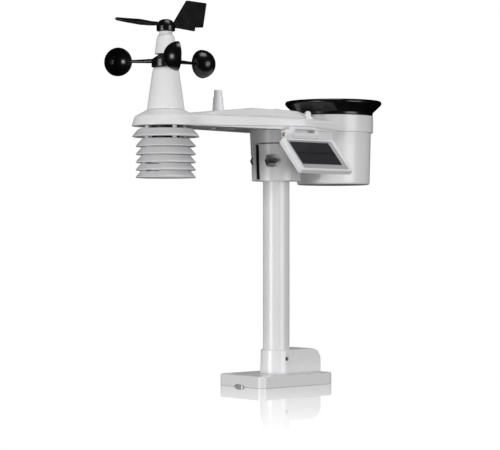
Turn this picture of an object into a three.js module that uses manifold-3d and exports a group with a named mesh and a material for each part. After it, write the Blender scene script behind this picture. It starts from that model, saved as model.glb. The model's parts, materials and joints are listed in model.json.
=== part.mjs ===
// Home weather station: wind cups and vane, radiation shield, rain gauge and tilting solar panel on one
// arm, which is clamped to a pole that stands in a mounting base.
// Millimetres, +Z up. The origin is on the underside of the base, on the axis of the pole. The arm runs
// along X, with the wind sensors towards -X and the rain gauge towards +X. The solar panel faces -Y.
import * as THREE from 'three';
import { mergeVertices } from 'three/addons/utils/BufferGeometryUtils.js';
import Module from 'manifold-3d';

const wasm = await Module();
wasm.setup();

// ---- Driving dimensions ----
const FIT = 0.3; // clearance between pieces that touch
const POLE_RADIUS = 17.5;
const WIND_X = -188.3; // axis of cups, vane and shield
const RAIN_X = 105.6; // axis of the rain gauge

const BASE_LENGTH = 130;
const BASE_WIDTH = 85.6;
const BASE_HEIGHT = 15.3;
const BASE_WALL = 3;
const BASE_CORNER = 9;
const WEB_END = 62.8; // end of the web that braces the socket
const WEB_HALF = 20;
const SOCKET_TOP = 46.5;
const SOCKET_FLOOR = 8;
const SOCKET_SCREW_Z = 34.7;

const POLE_TOP = 326;
const CLAMP_BOTTOM = 268;
const CLAMP_TOP = 317.5;
const CLAMP_BORE = 20.3;
const JAW_GAP = 1.8; // above the jaw
const CLAMP_SKIN = 1.4; // wall outside the gaskets
const BOLT_X = 26;
const BOLT_Z = 294;
const BOLT_RADIUS = 2.95;
const BOLT_END = -28.7;
const HEX_RADIUS = 7.3; // nut, across its corners
const HEAD_RADIUS = 6.6;
const NUT_SEAT = -12.9; // floor of the nut's pocket in the jaw
const HEAD_SEAT = 11.5; // floor of the bolt head's pocket behind the clamp

const COVER_Z = 333.6; // underside of the arm
const WALL = 2.2; // wall of the arm's mouldings
const BAND_TOP = 346.4; // top edge of the arm's side band
const RING_RADIUS = 54;
const RING_TOP = 357.7;
const RING_BOTTOM = 335;

// The arm's cross-sections along X: half width, height of the wall's lower edge, height of the crest.
const ARM_STATIONS = [
  { x: -188, half: 33, low: 334, crest: 348 },
  { x: -149, half: 35.7, low: 334, crest: 352 },
  { x: -50, half: 49.2, low: 336.6, crest: 362 },
  { x: 0, half: 56, low: 338, crest: 361.7 },
  { x: 24, half: 52.1, low: 337.2, crest: 361.7 },
  { x: 46, half: 48.5, low: 336.4, crest: 357.5 },
  { x: 74, half: 44, low: 335.4, crest: 357.4 },
  { x: 100, half: 44, low: 335.4, crest: 357.4 },
];

const CUP_ORBIT = 63;
const CUP_RADIUS = 18.2;
const CUP_WALL = 1.4;
const CUP_Z = 415;
const CUP_TURN = 4.5; // degrees from +X to the first cup
const HUB_RADIUS = 17.8;

const PLATE_TIPS = [319.3, 307.2, 297, 287, 277.5, 268.3]; // lower edges of the shield's plates
const PLATE_DROP = 10.6;
const PLATE_RADIUS = 37.6;
const TOP_PLATE_SPREAD = 4.4; // how much further the top plate reaches
const ROD_COUNT = 4;
const ROD_ORBIT = 25.3;
const ROD_START = 76; // degrees from +X to the first rod
const CAGE_RADIUS = 18; // round guard of the climate probe

const BUCKET_Z = 300; // axis on which the rain bucket tips
const BUCKET_TILT = 12;
const DRUM_FLOOR = 264.9;
const DRUM_RADIUS = 51;

const HINGE_Y = -58;
const HINGE_Z = 326;
const HINGE_RADIUS = 5.8;
const PANEL_TILT = 48; // degrees from level
const PANEL_LENGTH = 94.3;
const PANEL_HEIGHT = 56;
const PANEL_DEPTH = 7.4;
const PANEL_CENTRE_X = -2.1;
const WINDOW_SHIFT = 3.9; // from the panel's middle towards the hinge

// Facets around a round piece, by its size.
const WIDE = 36;
const MIDDLE = 24;
const NARROW = 16;
const SLIM = 10;

const radians = THREE.MathUtils.degToRad;

// ---- Solids ----
function signedVolume(positions, triangles) {
  const a = new THREE.Vector3();
  const b = new THREE.Vector3();
  const c = new THREE.Vector3();
  let sum = 0;
  for (let i = 0; i < triangles.length; i += 3) {
    a.fromArray(positions, triangles[i] * 3);
    b.fromArray(positions, triangles[i + 1] * 3);
    c.fromArray(positions, triangles[i + 2] * 3);
    sum += a.dot(b.cross(c));
  }
  return sum;
}

// A closed three.js geometry as a manifold solid, facing out.
function solid(source) {
  const geometry = source.clone();
  geometry.deleteAttribute('normal');
  geometry.deleteAttribute('uv');
  const merged = mergeVertices(geometry, 1e-4);
  const positions = new Float32Array(merged.attributes.position.array);
  const index = merged.index.array;
  const triangles = [];
  for (let i = 0; i < index.length; i += 3) {
    const [a, b, c] = [index[i], index[i + 1], index[i + 2]];
    if (a !== b && b !== c && c !== a) triangles.push(a, b, c);
  }
  if (signedVolume(positions, triangles) < 0) triangles.reverse();
  const mesh = new wasm.Mesh({
    numProp: 3, vertProperties: positions, triVerts: new Uint32Array(triangles),
  });
  return new wasm.Manifold(mesh);
}

function join(first, ...others) {
  return others.reduce((whole, piece) => whole.add(piece), first);
}

function cut(first, ...others) {
  return others.reduce((whole, piece) => whole.subtract(piece), first);
}

function toGeometry(body) {
  const mesh = body.getMesh();
  const geometry = new THREE.BufferGeometry();
  geometry.setAttribute('position', new THREE.BufferAttribute(mesh.vertProperties, 3));
  geometry.setIndex(new THREE.BufferAttribute(mesh.triVerts, 1));
  geometry.computeVertexNormals();
  return geometry;
}

// A solid of revolution about +Z from [radius, height] points, moved to (x, y).
function turned(profile, segments = MIDDLE, x = 0, y = 0) {
  const points = profile.map(([radius, height]) => new THREE.Vector2(radius, height));
  const geometry = new THREE.LatheGeometry(points, segments);
  geometry.rotateX(Math.PI / 2);
  geometry.translate(x, y, 0);
  return solid(geometry);
}

function closedRing(profile) {
  return [...profile, profile[0]];
}

function disc(radius, low, high, segments = MIDDLE, x = 0, y = 0) {
  return turned([[0, low], [radius, low], [radius, high], [0, high]], segments, x, y);
}

function tube(inner, outer, low, high, segments = MIDDLE, x = 0, y = 0) {
  const profile = closedRing([[inner, low], [outer, low], [outer, high], [inner, high]]);
  return turned(profile, segments, x, y);
}

function box(lowX, highX, lowY, highY, lowZ, highZ) {
  const geometry = new THREE.BoxGeometry(highX - lowX, highY - lowY, highZ - lowZ);
  geometry.translate((lowX + highX) / 2, (lowY + highY) / 2, (lowZ + highZ) / 2);
  return solid(geometry);
}

// A round bar from one Y to another.
function barAlongY(radius, lowY, highY, x, z, segments = SLIM) {
  const geometry = new THREE.CylinderGeometry(radius, radius, highY - lowY, segments);
  geometry.translate(x, (lowY + highY) / 2, z);
  return solid(geometry);
}

// A round bar from one X to another.
function barAlongX(radius, lowX, highX, y, z, segments = SLIM) {
  const geometry = new THREE.CylinderGeometry(radius, radius, highX - lowX, segments);
  geometry.rotateZ(Math.PI / 2);
  geometry.translate((lowX + highX) / 2, y, z);
  return solid(geometry);
}

function outline(points) {
  return new THREE.Shape(points.map(([x, y]) => new THREE.Vector2(x, y)));
}

// An outline in X and Y, raised from one height to another.
function raised(points, low, high) {
  const geometry = new THREE.ExtrudeGeometry(outline(points), { depth: high - low, bevelEnabled: false });
  geometry.translate(0, 0, low);
  return solid(geometry);
}

// An outline in X and Z, with thickness from one Y to another.
function upright(points, lowY, highY) {
  const geometry = new THREE.ExtrudeGeometry(outline(points), { depth: highY - lowY, bevelEnabled: false });
  geometry.rotateX(Math.PI / 2);
  geometry.translate(0, highY, 0);
  return solid(geometry);
}

// An outline in Y and Z, with thickness from one X to another.
function crosswise(points, lowX, highX) {
  const geometry = new THREE.ExtrudeGeometry(outline(points), { depth: highX - lowX, bevelEnabled: false });
  geometry.applyMatrix4(new THREE.Matrix4().makeBasis(
    new THREE.Vector3(0, 1, 0), new THREE.Vector3(0, 0, 1), new THREE.Vector3(1, 0, 0),
  ));
  geometry.translate(lowX, 0, 0);
  return solid(geometry);
}

function arc(centreX, centreY, radius, fromDegrees, toDegrees, steps) {
  const points = [];
  for (let step = 0; step <= steps; step += 1) {
    const angle = radians(fromDegrees + (toDegrees - fromDegrees) * step / steps);
    points.push([centreX + radius * Math.cos(angle), centreY + radius * Math.sin(angle)]);
  }
  return points;
}

function roundedRectangle(length, width, corner, steps = 5) {
  const x = length / 2 - corner;
  const y = width / 2 - corner;
  return [
    ...arc(x, y, corner, 0, 90, steps),
    ...arc(-x, y, corner, 90, 180, steps),
    ...arc(-x, -y, corner, 180, 270, steps),
    ...arc(x, -y, corner, 270, 360, steps),
  ];
}

// A closed skin over loops of equal length; the first and last loop are capped as fans.
function loft(loops) {
  const count = loops[0].length;
  const positions = [];
  for (const loop of loops) {
    for (const point of loop) positions.push(...point);
  }
  const index = [];
  for (let ring = 0; ring + 1 < loops.length; ring += 1) {
    for (let i = 0; i < count; i += 1) {
      const next = (i + 1) % count;
      const [a, b] = [ring * count + i, ring * count + next];
      const [c, d] = [a + count, b + count];
      index.push(a, b, d, a, d, c);
    }
  }
  const last = (loops.length - 1) * count;
  for (let i = 1; i + 1 < count; i += 1) {
    index.push(0, i + 1, i);
    index.push(last, last + i, last + i + 1);
  }
  const geometry = new THREE.BufferGeometry();
  geometry.setAttribute('position', new THREE.Float32BufferAttribute(positions, 3));
  geometry.setIndex(index);
  return solid(geometry);
}

function loopAtHeight(points, height) {
  return points.map(([x, y]) => [x, y, height]);
}

// ---- Materials and placing ----
const colours = {
  white: ['#dcdce0', 0.42, 0],
  black: ['#17171a', 0.16, 0],
  rubber: ['#2a2a2c', 0.85, 0],
  steel: ['#9a9ca0', 0.35, 1],
  brass: ['#8a6a44', 0.4, 1],
  cell: ['#14161c', 0.2, 0],
  board: ['#2f6b45', 0.6, 0],
  battery: ['#c9c4b4', 0.45, 0],
  clear: ['#bfe0a8', 0.1, 0],
  red: ['#b03028', 0.3, 0],
  dome: ['#f2f2ee', 0.25, 0],
};

function place(group, name, body, colour) {
  const [color, roughness, metalness] = colours[colour];
  const material = new THREE.MeshStandardMaterial({ color, roughness, metalness });
  const mesh = new THREE.Mesh(toGeometry(body), material);
  mesh.name = name;
  group.add(mesh);
}

// ---- Stand: base and pole ----
function makeBase() {
  const edge = 1.8;
  const screwX = BASE_LENGTH / 2 - 11;
  const screwY = BASE_WIDTH / 2 - 11;
  const plate = loft([
    loopAtHeight(roundedRectangle(BASE_LENGTH, BASE_WIDTH, BASE_CORNER), 0),
    loopAtHeight(roundedRectangle(BASE_LENGTH, BASE_WIDTH, BASE_CORNER), BASE_HEIGHT - edge),
    loopAtHeight(
      roundedRectangle(BASE_LENGTH - 2 * edge, BASE_WIDTH - 2 * edge, BASE_CORNER - edge), BASE_HEIGHT,
    ),
  ]);
  const socket = turned([
    [0, BASE_HEIGHT - 1], [21.1, BASE_HEIGHT - 1], [20.3, SOCKET_TOP - 1], [19.6, SOCKET_TOP], [0, SOCKET_TOP],
  ], MIDDLE);
  const webRadius = 16;
  const web = upright([
    [0, BASE_HEIGHT - 2],
    [WEB_END, BASE_HEIGHT - 2],
    ...arc(WEB_END - webRadius, SOCKET_TOP - webRadius, webRadius, 0, 90, 7),
    [0, SOCKET_TOP],
  ], -WEB_HALF, WEB_HALF);

  let hollow = raised(
    roundedRectangle(BASE_LENGTH - 2 * BASE_WALL, BASE_WIDTH - 2 * BASE_WALL, 6), -1, BASE_HEIGHT - BASE_WALL,
  );
  hollow = join(hollow, box(25, WEB_END - BASE_WALL, BASE_WALL - WEB_HALF, WEB_HALF - BASE_WALL, 0, 30));
  const ribs = [
    box(-BASE_LENGTH, BASE_LENGTH, -1.5, 1.5, -2, 40),
    box(-1.5, 1.5, -BASE_WIDTH, BASE_WIDTH, -2, 40),
    disc(22, -2, 40, NARROW),
  ];
  for (const x of [-screwX, screwX]) {
    for (const y of [-screwY, screwY]) ribs.push(disc(5.5, -2, 40, SLIM, x, y));
  }
  hollow = cut(hollow, ...ribs);

  let base = cut(join(plate, socket, web), hollow, disc(POLE_RADIUS + FIT, SOCKET_FLOOR, 60, MIDDLE));
  for (const x of [-screwX, screwX]) {
    for (const y of [-screwY, screwY]) {
      base = cut(base, disc(2.4, -1, 20, SLIM, x, y), disc(4.4, BASE_HEIGHT - 3, 20, SLIM, x, y));
    }
  }
  const notchHalf = 10.5;
  const notchHeight = 3.7;
  const notch = new THREE.CylinderGeometry(notchHalf, notchHalf, 8, NARROW);
  notch.rotateZ(Math.PI / 2);
  notch.scale(1, 1, notchHeight / notchHalf);
  notch.translate(-BASE_LENGTH / 2, 0, 0);
  return cut(base, solid(notch), barAlongY(2.9, -30, -10, 0, SOCKET_SCREW_Z, SLIM));
}

function makeStand() {
  const stand = new THREE.Group();
  place(stand, 'mounting_base', makeBase(), 'white');
  const screw = cut(
    barAlongY(2.55, -20, -POLE_RADIUS - FIT, 0, SOCKET_SCREW_Z, SLIM),
    barAlongY(1.3, -22, -18.6, 0, SOCKET_SCREW_Z, 6),
  );
  place(stand, 'socket_screw', screw, 'steel');
  const pole = tube(POLE_RADIUS - 1.6, POLE_RADIUS, SOCKET_FLOOR + FIT, POLE_TOP, MIDDLE);
  place(stand, 'mast_pole', pole, 'white');
  return stand;
}

// ---- Clamp ----
function bossRadius(height) {
  return 31.9 + 2.9 * (height - CLAMP_BOTTOM) / (COVER_Z - CLAMP_BOTTOM);
}

// The ring-shaped room for the gaskets in the rear half of the clamp, less an inset all round.
function gasketRing(inset) {
  const [low, high] = [CLAMP_BOTTOM + 2 + inset, CLAMP_TOP - 2 - inset];
  const inner = CLAMP_BORE + 2.5 + inset;
  const skin = CLAMP_SKIN + inset;
  return turned(closedRing([
    [inner, low], [bossRadius(low) - skin, low], [bossRadius(high) - skin, high], [inner, high],
  ]), MIDDLE);
}

function makeJaw() {
  const top = CLAMP_TOP - JAW_GAP;
  let jaw = turned([
    [0, CLAMP_BOTTOM], [bossRadius(CLAMP_BOTTOM), CLAMP_BOTTOM], [bossRadius(top), top], [0, top],
  ], MIDDLE);
  jaw = cut(jaw, disc(CLAMP_BORE, 260, 330, MIDDLE), box(-50, 50, -2.9, 50, 260, 330));
  for (const x of [-BOLT_X, BOLT_X]) {
    const pocket = barAlongY(HEX_RADIUS + 1.2, -50, NUT_SEAT, x, BOLT_Z, NARROW);
    jaw = cut(jaw, pocket, barAlongY(BOLT_RADIUS + 0.5, -50, 0, x, BOLT_Z));
  }
  return jaw;
}

function makePad(facing) {
  const ring = tube(POLE_RADIUS + FIT, CLAMP_BORE - FIT, CLAMP_BOTTOM + 1, CLAMP_TOP - 1.5, MIDDLE);
  const keep = facing > 0 ? box(-30, 30, 6, 30, 260, 330) : box(-30, 30, -30, -4.5, 260, 330);
  return ring.intersect(keep);
}

// A rubber block that shows in the gap beside the jaw. Its bolt passes through it.
function makeGasket(x) {
  const keep = x < 0 ? box(-50, -2, 5, 9, 260, 330) : box(2, 50, 5, 9, 260, 330);
  return cut(gasketRing(FIT).intersect(keep), barAlongY(BOLT_RADIUS + 0.5, 0, 20, x, BOLT_Z));
}

function makeBolt(x) {
  const head = barAlongY(HEAD_RADIUS, HEAD_SEAT + FIT, HEAD_SEAT + 4.5, x, BOLT_Z, 6);
  return join(barAlongY(BOLT_RADIUS, BOLT_END, HEAD_SEAT + 1, x, BOLT_Z), head);
}

function makeNut(x) {
  const nut = barAlongY(HEX_RADIUS, NUT_SEAT - 5.3, NUT_SEAT - FIT, x, BOLT_Z, 6);
  return cut(nut, barAlongY(BOLT_RADIUS + FIT, -20, -10, x, BOLT_Z));
}

function addClamp(head) {
  place(head, 'clamp_jaw', makeJaw(), 'white');
  place(head, 'clamp_pad_rear', makePad(1), 'rubber');
  place(head, 'clamp_pad_front', makePad(-1), 'rubber');
  for (const [side, x] of [['left', -BOLT_X], ['right', BOLT_X]]) {
    place(head, `clamp_bolt_${side}`, makeBolt(x), 'brass');
    place(head, `clamp_nut_${side}`, makeNut(x), 'steel');
    place(head, `clamp_gasket_${side}`, makeGasket(x), 'rubber');
  }
}

// ---- Arm ----
const DOOR = { lowX: -93, highX: -38.6, halfY: 26.5 };
const BUTTON = { x: -110, radius: 3 };
const LED = { x: -110, y: -11, radius: 1.6 };
const ANTENNA = { x: -101.5, radius: 7.4 };
const SENSOR = { x: 29, y: -30, radius: 4.25 };
const LEVEL = { x: 0, radius: 6 };

function armPlan(inset) {
  const near = ARM_STATIONS.map(({ x, half }) => [x, -(half - inset)]);
  const far = ARM_STATIONS.map(({ x, half }) => [x, half - inset]).reverse();
  return [...near, ...far];
}

// The arm's body: upright side bands, a low shelf and a raised spine along the middle.
function armBody(inset) {
  const loops = ARM_STATIONS.map(({ x, half, low, crest }) => {
    const bottom = inset > 0 ? COVER_Z - 5 : low;
    const width = half - inset;
    const side = [
      [width, bottom],
      [width, BAND_TOP - inset],
      [width - 2.4, BAND_TOP + 1.4 - inset],
      [width * 0.58, Math.max(BAND_TOP + 2, crest - 11) - inset],
      [width * 0.3, crest - 1.2 - inset],
      [width * 0.16, crest - inset],
    ];
    const left = side.map(([y, z]) => [x, -y, z]);
    const right = side.map(([y, z]) => [x, y, z]).reverse();
    return [...left, ...right];
  });
  return loft(loops);
}

function makeTopShell() {
  const roof = turned([
    [0, COVER_Z - 0.6], [42.5, COVER_Z - 0.6], [42.5, 334.6], [39, 345], [24, 353.3], [0, 353.3],
  ], WIDE, WIND_X);
  const roofHollow = turned([
    [0, 320], [40.2, 320], [40.2, 334.6], [37, 343.6], [22, 350.9], [0, 350.9],
  ], MIDDLE, WIND_X);
  const ring = disc(RING_RADIUS, RING_BOTTOM, RING_TOP, WIDE, RAIN_X);
  const ringBore = turned([
    [0, 320], [DRUM_RADIUS + FIT, 320], [DRUM_RADIUS + FIT, 350.6], [48, 350.6], [48, 370], [0, 370],
  ], WIDE, RAIN_X);
  const sensorSeat = disc(7, 346, 352, NARROW, SENSOR.x, SENSOR.y);
  const outside = join(armBody(0), roof, ring, sensorSeat);
  const inside = cut(armBody(WALL), disc(RING_RADIUS, 320, 370, WIDE, RAIN_X));
  return cut(
    outside, inside, roofHollow, ringBore,
    disc(18, 340, 360, MIDDLE, WIND_X),
    disc(ANTENNA.radius + FIT, 340, 370, NARROW, ANTENNA.x),
    disc(SENSOR.radius + FIT, 340, 370, SLIM, SENSOR.x, SENSOR.y),
    disc(LEVEL.radius + FIT, 350, 370, NARROW, LEVEL.x),
  );
}

function makeLowerShell() {
  const inset = WALL + 2 * FIT;
  const roundEnd = 37.8;
  const slab = join(raised(armPlan(inset), COVER_Z, 339.5), disc(roundEnd, COVER_Z, 339.5, MIDDLE, WIND_X));
  const pocket = join(
    raised(armPlan(inset + 2), COVER_Z + WALL, 345), disc(roundEnd - 2, COVER_Z + WALL, 345, MIDDLE, WIND_X),
  );
  const ringSpace = disc(RING_RADIUS + FIT, 320, 350, WIDE, RAIN_X);
  const tray = cut(slab, ringSpace, cut(pocket, disc(RING_RADIUS + 2.5, 320, 350, WIDE, RAIN_X)));

  let boss = turned([
    [0, CLAMP_BOTTOM], [bossRadius(CLAMP_BOTTOM), CLAMP_BOTTOM], [bossRadius(COVER_Z), COVER_Z],
    [bossRadius(COVER_Z), COVER_Z + 1], [0, COVER_Z + 1],
  ], MIDDLE);
  const hollowAboutBolts = box(-50, 50, HEAD_SEAT - 2, 50, BOLT_Z - 10, BOLT_Z + 10);
  boss = cut(
    boss,
    box(-50, 50, -50, 4.5, 260, CLAMP_TOP),
    disc(CLAMP_BORE, 260, CLAMP_TOP, MIDDLE),
    disc(POLE_RADIUS + FIT, 260, POLE_TOP + 1, MIDDLE),
    cut(gasketRing(0).intersect(box(-50, 50, 4, 18, 260, CLAMP_TOP)), hollowAboutBolts),
  );
  for (const x of [-BOLT_X, BOLT_X]) {
    const pocket = barAlongY(HEAD_RADIUS + 1.4, HEAD_SEAT, 40, x, BOLT_Z, NARROW);
    boss = cut(boss, barAlongY(BOLT_RADIUS + 0.5, 0, 30, x, BOLT_Z), pocket);
  }

  let shell = cut(
    join(tray, boss),
    box(DOOR.lowX - FIT, DOOR.highX + FIT, -DOOR.halfY - FIT, DOOR.halfY + FIT, 330, 345),
    disc(BUTTON.radius + FIT, 330, 345, SLIM, BUTTON.x),
    disc(LED.radius + FIT, 330, 345, SLIM, LED.x, LED.y),
    disc(8, 330, 345, NARROW, WIND_X),
  );
  for (let i = 0; i < ROD_COUNT; i += 1) {
    const [x, y] = rodPlace(i);
    shell = cut(shell, disc(1.6, 330, 345, SLIM, x, y));
  }
  return shell;
}

function makeDoor() {
  let door = box(DOOR.lowX, DOOR.highX, -DOOR.halfY, DOOR.halfY, COVER_Z, COVER_Z + WALL);
  for (let rib = 0; rib < 3; rib += 1) {
    const x = DOOR.lowX + 6 + rib * 3;
    door = join(door, box(x, x + 1.2, -8, 8, COVER_Z - 0.6, COVER_Z + 0.5));
  }
  return door;
}

function makeBattery(y) {
  const length = 50;
  const radius = 7.1;
  const x = (DOOR.lowX + DOOR.highX) / 2;
  const z = COVER_Z + WALL + 0.5 + radius;
  const nub = barAlongX(2.75, x + length / 2 - 1, x + length / 2 + 0.6, y, z);
  return join(barAlongX(radius, x - length / 2, x + length / 2 - 0.5, y, z), nub);
}

function addArm(head) {
  place(head, 'arm_top_shell', makeTopShell(), 'white');
  place(head, 'arm_lower_shell', makeLowerShell(), 'white');
  place(head, 'battery_door', makeDoor(), 'white');
  for (let i = 0; i < 3; i += 1) place(head, `battery_${i + 1}`, makeBattery((i - 1) * 14.7), 'battery');
  place(head, 'main_board', box(-28, 44, -24, 24, 341, 342.6), 'board');

  const button = turned([
    [0, COVER_Z - 1], [BUTTON.radius - 0.4, COVER_Z - 1], [BUTTON.radius, COVER_Z - 0.6],
    [BUTTON.radius, COVER_Z + 3], [0, COVER_Z + 3],
  ], SLIM, BUTTON.x);
  place(head, 'reset_button', button, 'white');
  const led = turned([
    [0, COVER_Z - 0.8], [0.9, COVER_Z - 0.6], [LED.radius, COVER_Z + 0.2], [LED.radius, COVER_Z + 4],
    [0, COVER_Z + 4],
  ], SLIM, LED.x, LED.y);
  place(head, 'status_led', led, 'red');

  const antenna = turned([
    [0, 352.5], [ANTENNA.radius, 352.5], [ANTENNA.radius, 357.2], [6.2, 373.5], [5.5, 374], [5.1, 382.2],
    [4.5, 382.8], [0, 382.8],
  ], NARROW, ANTENNA.x);
  place(head, 'antenna', antenna, 'white');
  const sensor = turned([
    [0, 348.5], [SENSOR.radius, 348.5], [SENSOR.radius, 357.2], [3.6, 359.2], [2.2, 360.3], [0, 360.6],
  ], SLIM, SENSOR.x, SENSOR.y);
  place(head, 'light_sensor', sensor, 'dome');
  const level = turned([
    [0, 357], [LEVEL.radius, 357], [LEVEL.radius, 362], [4.2, 363], [0, 363.2],
  ], NARROW, LEVEL.x);
  place(head, 'bubble_level', level, 'clear');
}

// ---- Radiation shield ----
function rodPlace(number) {
  const angle = radians(ROD_START + 360 * number / ROD_COUNT);
  return [WIND_X + ROD_ORBIT * Math.cos(angle), ROD_ORBIT * Math.sin(angle)];
}

// A sector of a ring about the shield's axis.
function ringSector(inner, outer, low, high, fromDegrees, toDegrees) {
  const points = [
    ...arc(WIND_X, 0, outer, fromDegrees, toDegrees, 6), ...arc(WIND_X, 0, inner, toDegrees, fromDegrees, 6),
  ];
  return raised(points, low, high);
}

// One plate: a flat ring with a sloping skirt, and posts that carry the plate above it.
function makePlate(number) {
  const tip = PLATE_TIPS[number];
  const top = tip + PLATE_DROP;
  const rim = PLATE_RADIUS + (number === 0 ? TOP_PLATE_SPREAD : 0);
  const thick = 1.8;
  const lowest = number === PLATE_TIPS.length - 1;
  const inner = lowest ? 0 : CAGE_RADIUS + 1;
  const profile = [
    [inner, top], [inner, top - thick], [rim - 8.9, top - thick], [rim - 1.9, tip], [rim - 0.5, tip],
    [rim, tip + 0.9], [rim - 7.6, top - 0.6], [rim - 8.3, top],
  ];
  let plate = turned(lowest ? [...profile.slice(1), profile[0]] : closedRing(profile), MIDDLE, WIND_X);
  if (number >= PLATE_TIPS.length - 2) {
    plate = cut(plate, ringSector(CAGE_RADIUS + 5, rim, top - 3, top + 1, 176, 215));
  }
  const above = number === 0 ? COVER_Z : PLATE_TIPS[number - 1] + PLATE_DROP - thick;
  for (let i = 0; i < ROD_COUNT; i += 1) {
    const [x, y] = rodPlace(i);
    plate = join(plate, disc(2.8, top - 1, above - FIT, SLIM, x, y));
    plate = cut(plate, disc(1.6, tip - 5, above + 5, SLIM, x, y));
  }
  return plate;
}

// The probe hangs in a slotted guard, under a disc that closes the guard's top.
function makeProbe() {
  const bottom = PLATE_TIPS[PLATE_TIPS.length - 1] + PLATE_DROP + 2;
  const top = COVER_Z - FIT;
  let guard = join(
    tube(CAGE_RADIUS - 1.6, CAGE_RADIUS, bottom, top, MIDDLE, WIND_X),
    disc(CAGE_RADIUS - 1, top - 2, top, MIDDLE, WIND_X),
  );
  for (let slot = 0; slot < 4; slot += 1) {
    const gap = box(-CAGE_RADIUS - 2, CAGE_RADIUS + 2, -1.2, 1.2, bottom + 5, top - 6);
    guard = cut(guard, gap.rotate([0, 0, 10 + 45 * slot]).translate([WIND_X, 0, 0]));
  }
  const stick = join(
    box(WIND_X - 0.8, WIND_X + 0.8, -5, 5, 292, top - 1),
    box(WIND_X - 3, WIND_X + 3, -4, 4, 296, 310),
  );
  return join(guard, stick);
}

function addShield(head) {
  for (let number = 0; number < PLATE_TIPS.length; number += 1) {
    place(head, `shield_plate_${number + 1}`, makePlate(number), 'white');
  }
  const lowest = PLATE_TIPS[PLATE_TIPS.length - 1] + PLATE_DROP - 1.8;
  for (let i = 0; i < ROD_COUNT; i += 1) {
    const [x, y] = rodPlace(i);
    const rod = join(
      disc(1.25, lowest - 1, COVER_Z + 2, SLIM, x, y),
      disc(2.8, lowest - FIT - 2, lowest - FIT, SLIM, x, y),
    );
    place(head, `shield_rod_${i + 1}`, rod, 'steel');
  }
  place(head, 'climate_probe', makeProbe(), 'rubber');
}

// ---- Wind sensors ----
function makeTower() {
  return turned(closedRing([
    [21.4, 353.6], [23.7, 353.6], [22.9, 359], [20.2, 378], [17.6, 396.6], [16.7, 402.6], [15.4, 405.4],
    [13.4, 406.6], [4.8, 406.6], [4.8, 404], [13, 404], [15, 396.6], [18, 378],
  ]), MIDDLE, WIND_X);
}

function makeCup(number) {
  const rim = 0.6;
  const steps = 6;
  const profile = [
    ...arc(0, 0, CUP_RADIUS, -90, -rim, steps),
    ...arc(0, 0, CUP_RADIUS - CUP_WALL, -rim, -90, steps),
  ];
  profile[0][0] = 0;
  profile[profile.length - 1][0] = 0;
  const points = profile.map(([radius, height]) => new THREE.Vector2(radius, height));
  const bowl = new THREE.LatheGeometry(points, NARROW);
  bowl.translate(CUP_ORBIT, 0, CUP_Z);

  // The lathe's axis is Y, so the mouth already looks along +Y, a quarter turn on from the arm.
  const start = HUB_RADIUS + FIT;
  const end = CUP_ORBIT - CUP_RADIUS + 0.7;
  const bar = loft([start, end].map((x) => {
    const tall = x === start ? 2.9 : 1.9;
    const wide = x === start ? 2.2 : 1.5;
    return [
      [x, -wide, CUP_Z - tall * 0.6], [x, -wide * 0.4, CUP_Z - tall], [x, wide * 0.4, CUP_Z - tall],
      [x, wide, CUP_Z - tall * 0.6], [x, wide, CUP_Z + tall * 0.6], [x, wide * 0.4, CUP_Z + tall],
      [x, -wide * 0.4, CUP_Z + tall], [x, -wide, CUP_Z + tall * 0.6],
    ];
  }));
  const cup = join(solid(bowl), bar);
  return cup.rotate([0, 0, CUP_TURN + 120 * number]).translate([WIND_X, 0, 0]);
}

function makeHub() {
  return turned(closedRing([
    [15.6, 407], [17.2, 407], [HUB_RADIUS, 407.8], [HUB_RADIUS, 416.6], [9.6, 422.2], [9.2, 422.7], [5, 422.7],
    [5, 416], [8, 416], [8, 410], [10, 410], [10, 413], [15.6, 413],
  ]), MIDDLE, WIND_X);
}

function makeVane() {
  const z = 461;
  const hub = cut(
    turned([
      [0, 452], [11.2, 452], [11.7, 452.8], [11.7, 459], [10, 462.5], [7.6, 465.4], [4, 466.8], [0, 467.1],
    ], NARROW),
    disc(1.9, 450, 460, SLIM),
  );
  const pointer = upright([
    [-6, z - 2.4], [-24, z - 3.9], [-41, z - 4.3], [-65, z - 2.8], [-78, z - 1.6], [-80.3, z + 0.4],
    [-78, z + 2.5], [-65, z + 2.6], [-41, z + 3.2], [-24, z + 2], [-6, z + 2],
  ].reverse(), -1.5, 1.5);
  const tail = upright([
    [6, z - 4], [20, z - 4], [46.8, z - 5.8], [47.6, z - 1], [60.7, z], [66.6, 492.5], [33.8, 493.3],
    [12.8, 464], [6, 464],
  ], -1.3, 1.3);
  return join(hub, pointer, tail).translate([WIND_X, 0, 0]);
}

function addWindSensors(head) {
  place(head, 'wind_tower', makeTower(), 'white');
  const spindle = turned(closedRing([
    [2.4, 400.4], [9, 400.4], [9, 403.7], [4.2, 403.7], [4.2, 438], [2.4, 438],
  ]), NARROW, WIND_X);
  place(head, 'wind_spindle', spindle, 'steel');
  place(head, 'rotor_bearing', tube(4.6, 7.7, 410.3, 415.7, NARROW, WIND_X), 'brass');
  place(head, 'cup_hub', makeHub(), 'black');
  for (let number = 0; number < 3; number += 1) {
    place(head, `wind_cup_${number + 1}`, makeCup(number), 'black');
  }
  const cap = turned(closedRing([
    [4.6, 423.4], [13.6, 423.4], [14, 424], [13.2, 431], [11.6, 441], [11, 444.6], [9.2, 447.2], [8.3, 448.4],
    [8.3, 451.6], [1.9, 451.6], [1.9, 448], [6.6, 448], [6.6, 443], [9, 440], [11, 426], [4.6, 426],
  ]), NARROW, WIND_X);
  place(head, 'tower_cap', cap, 'white');
  place(head, 'vane_bearing', tube(1.9, 6.3, 443.4, 447.7, NARROW, WIND_X), 'brass');
  place(head, 'vane_shaft', disc(1.5, 440, 459.7, SLIM, WIND_X), 'steel');
  place(head, 'wind_vane', makeVane(), 'black');
}

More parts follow.
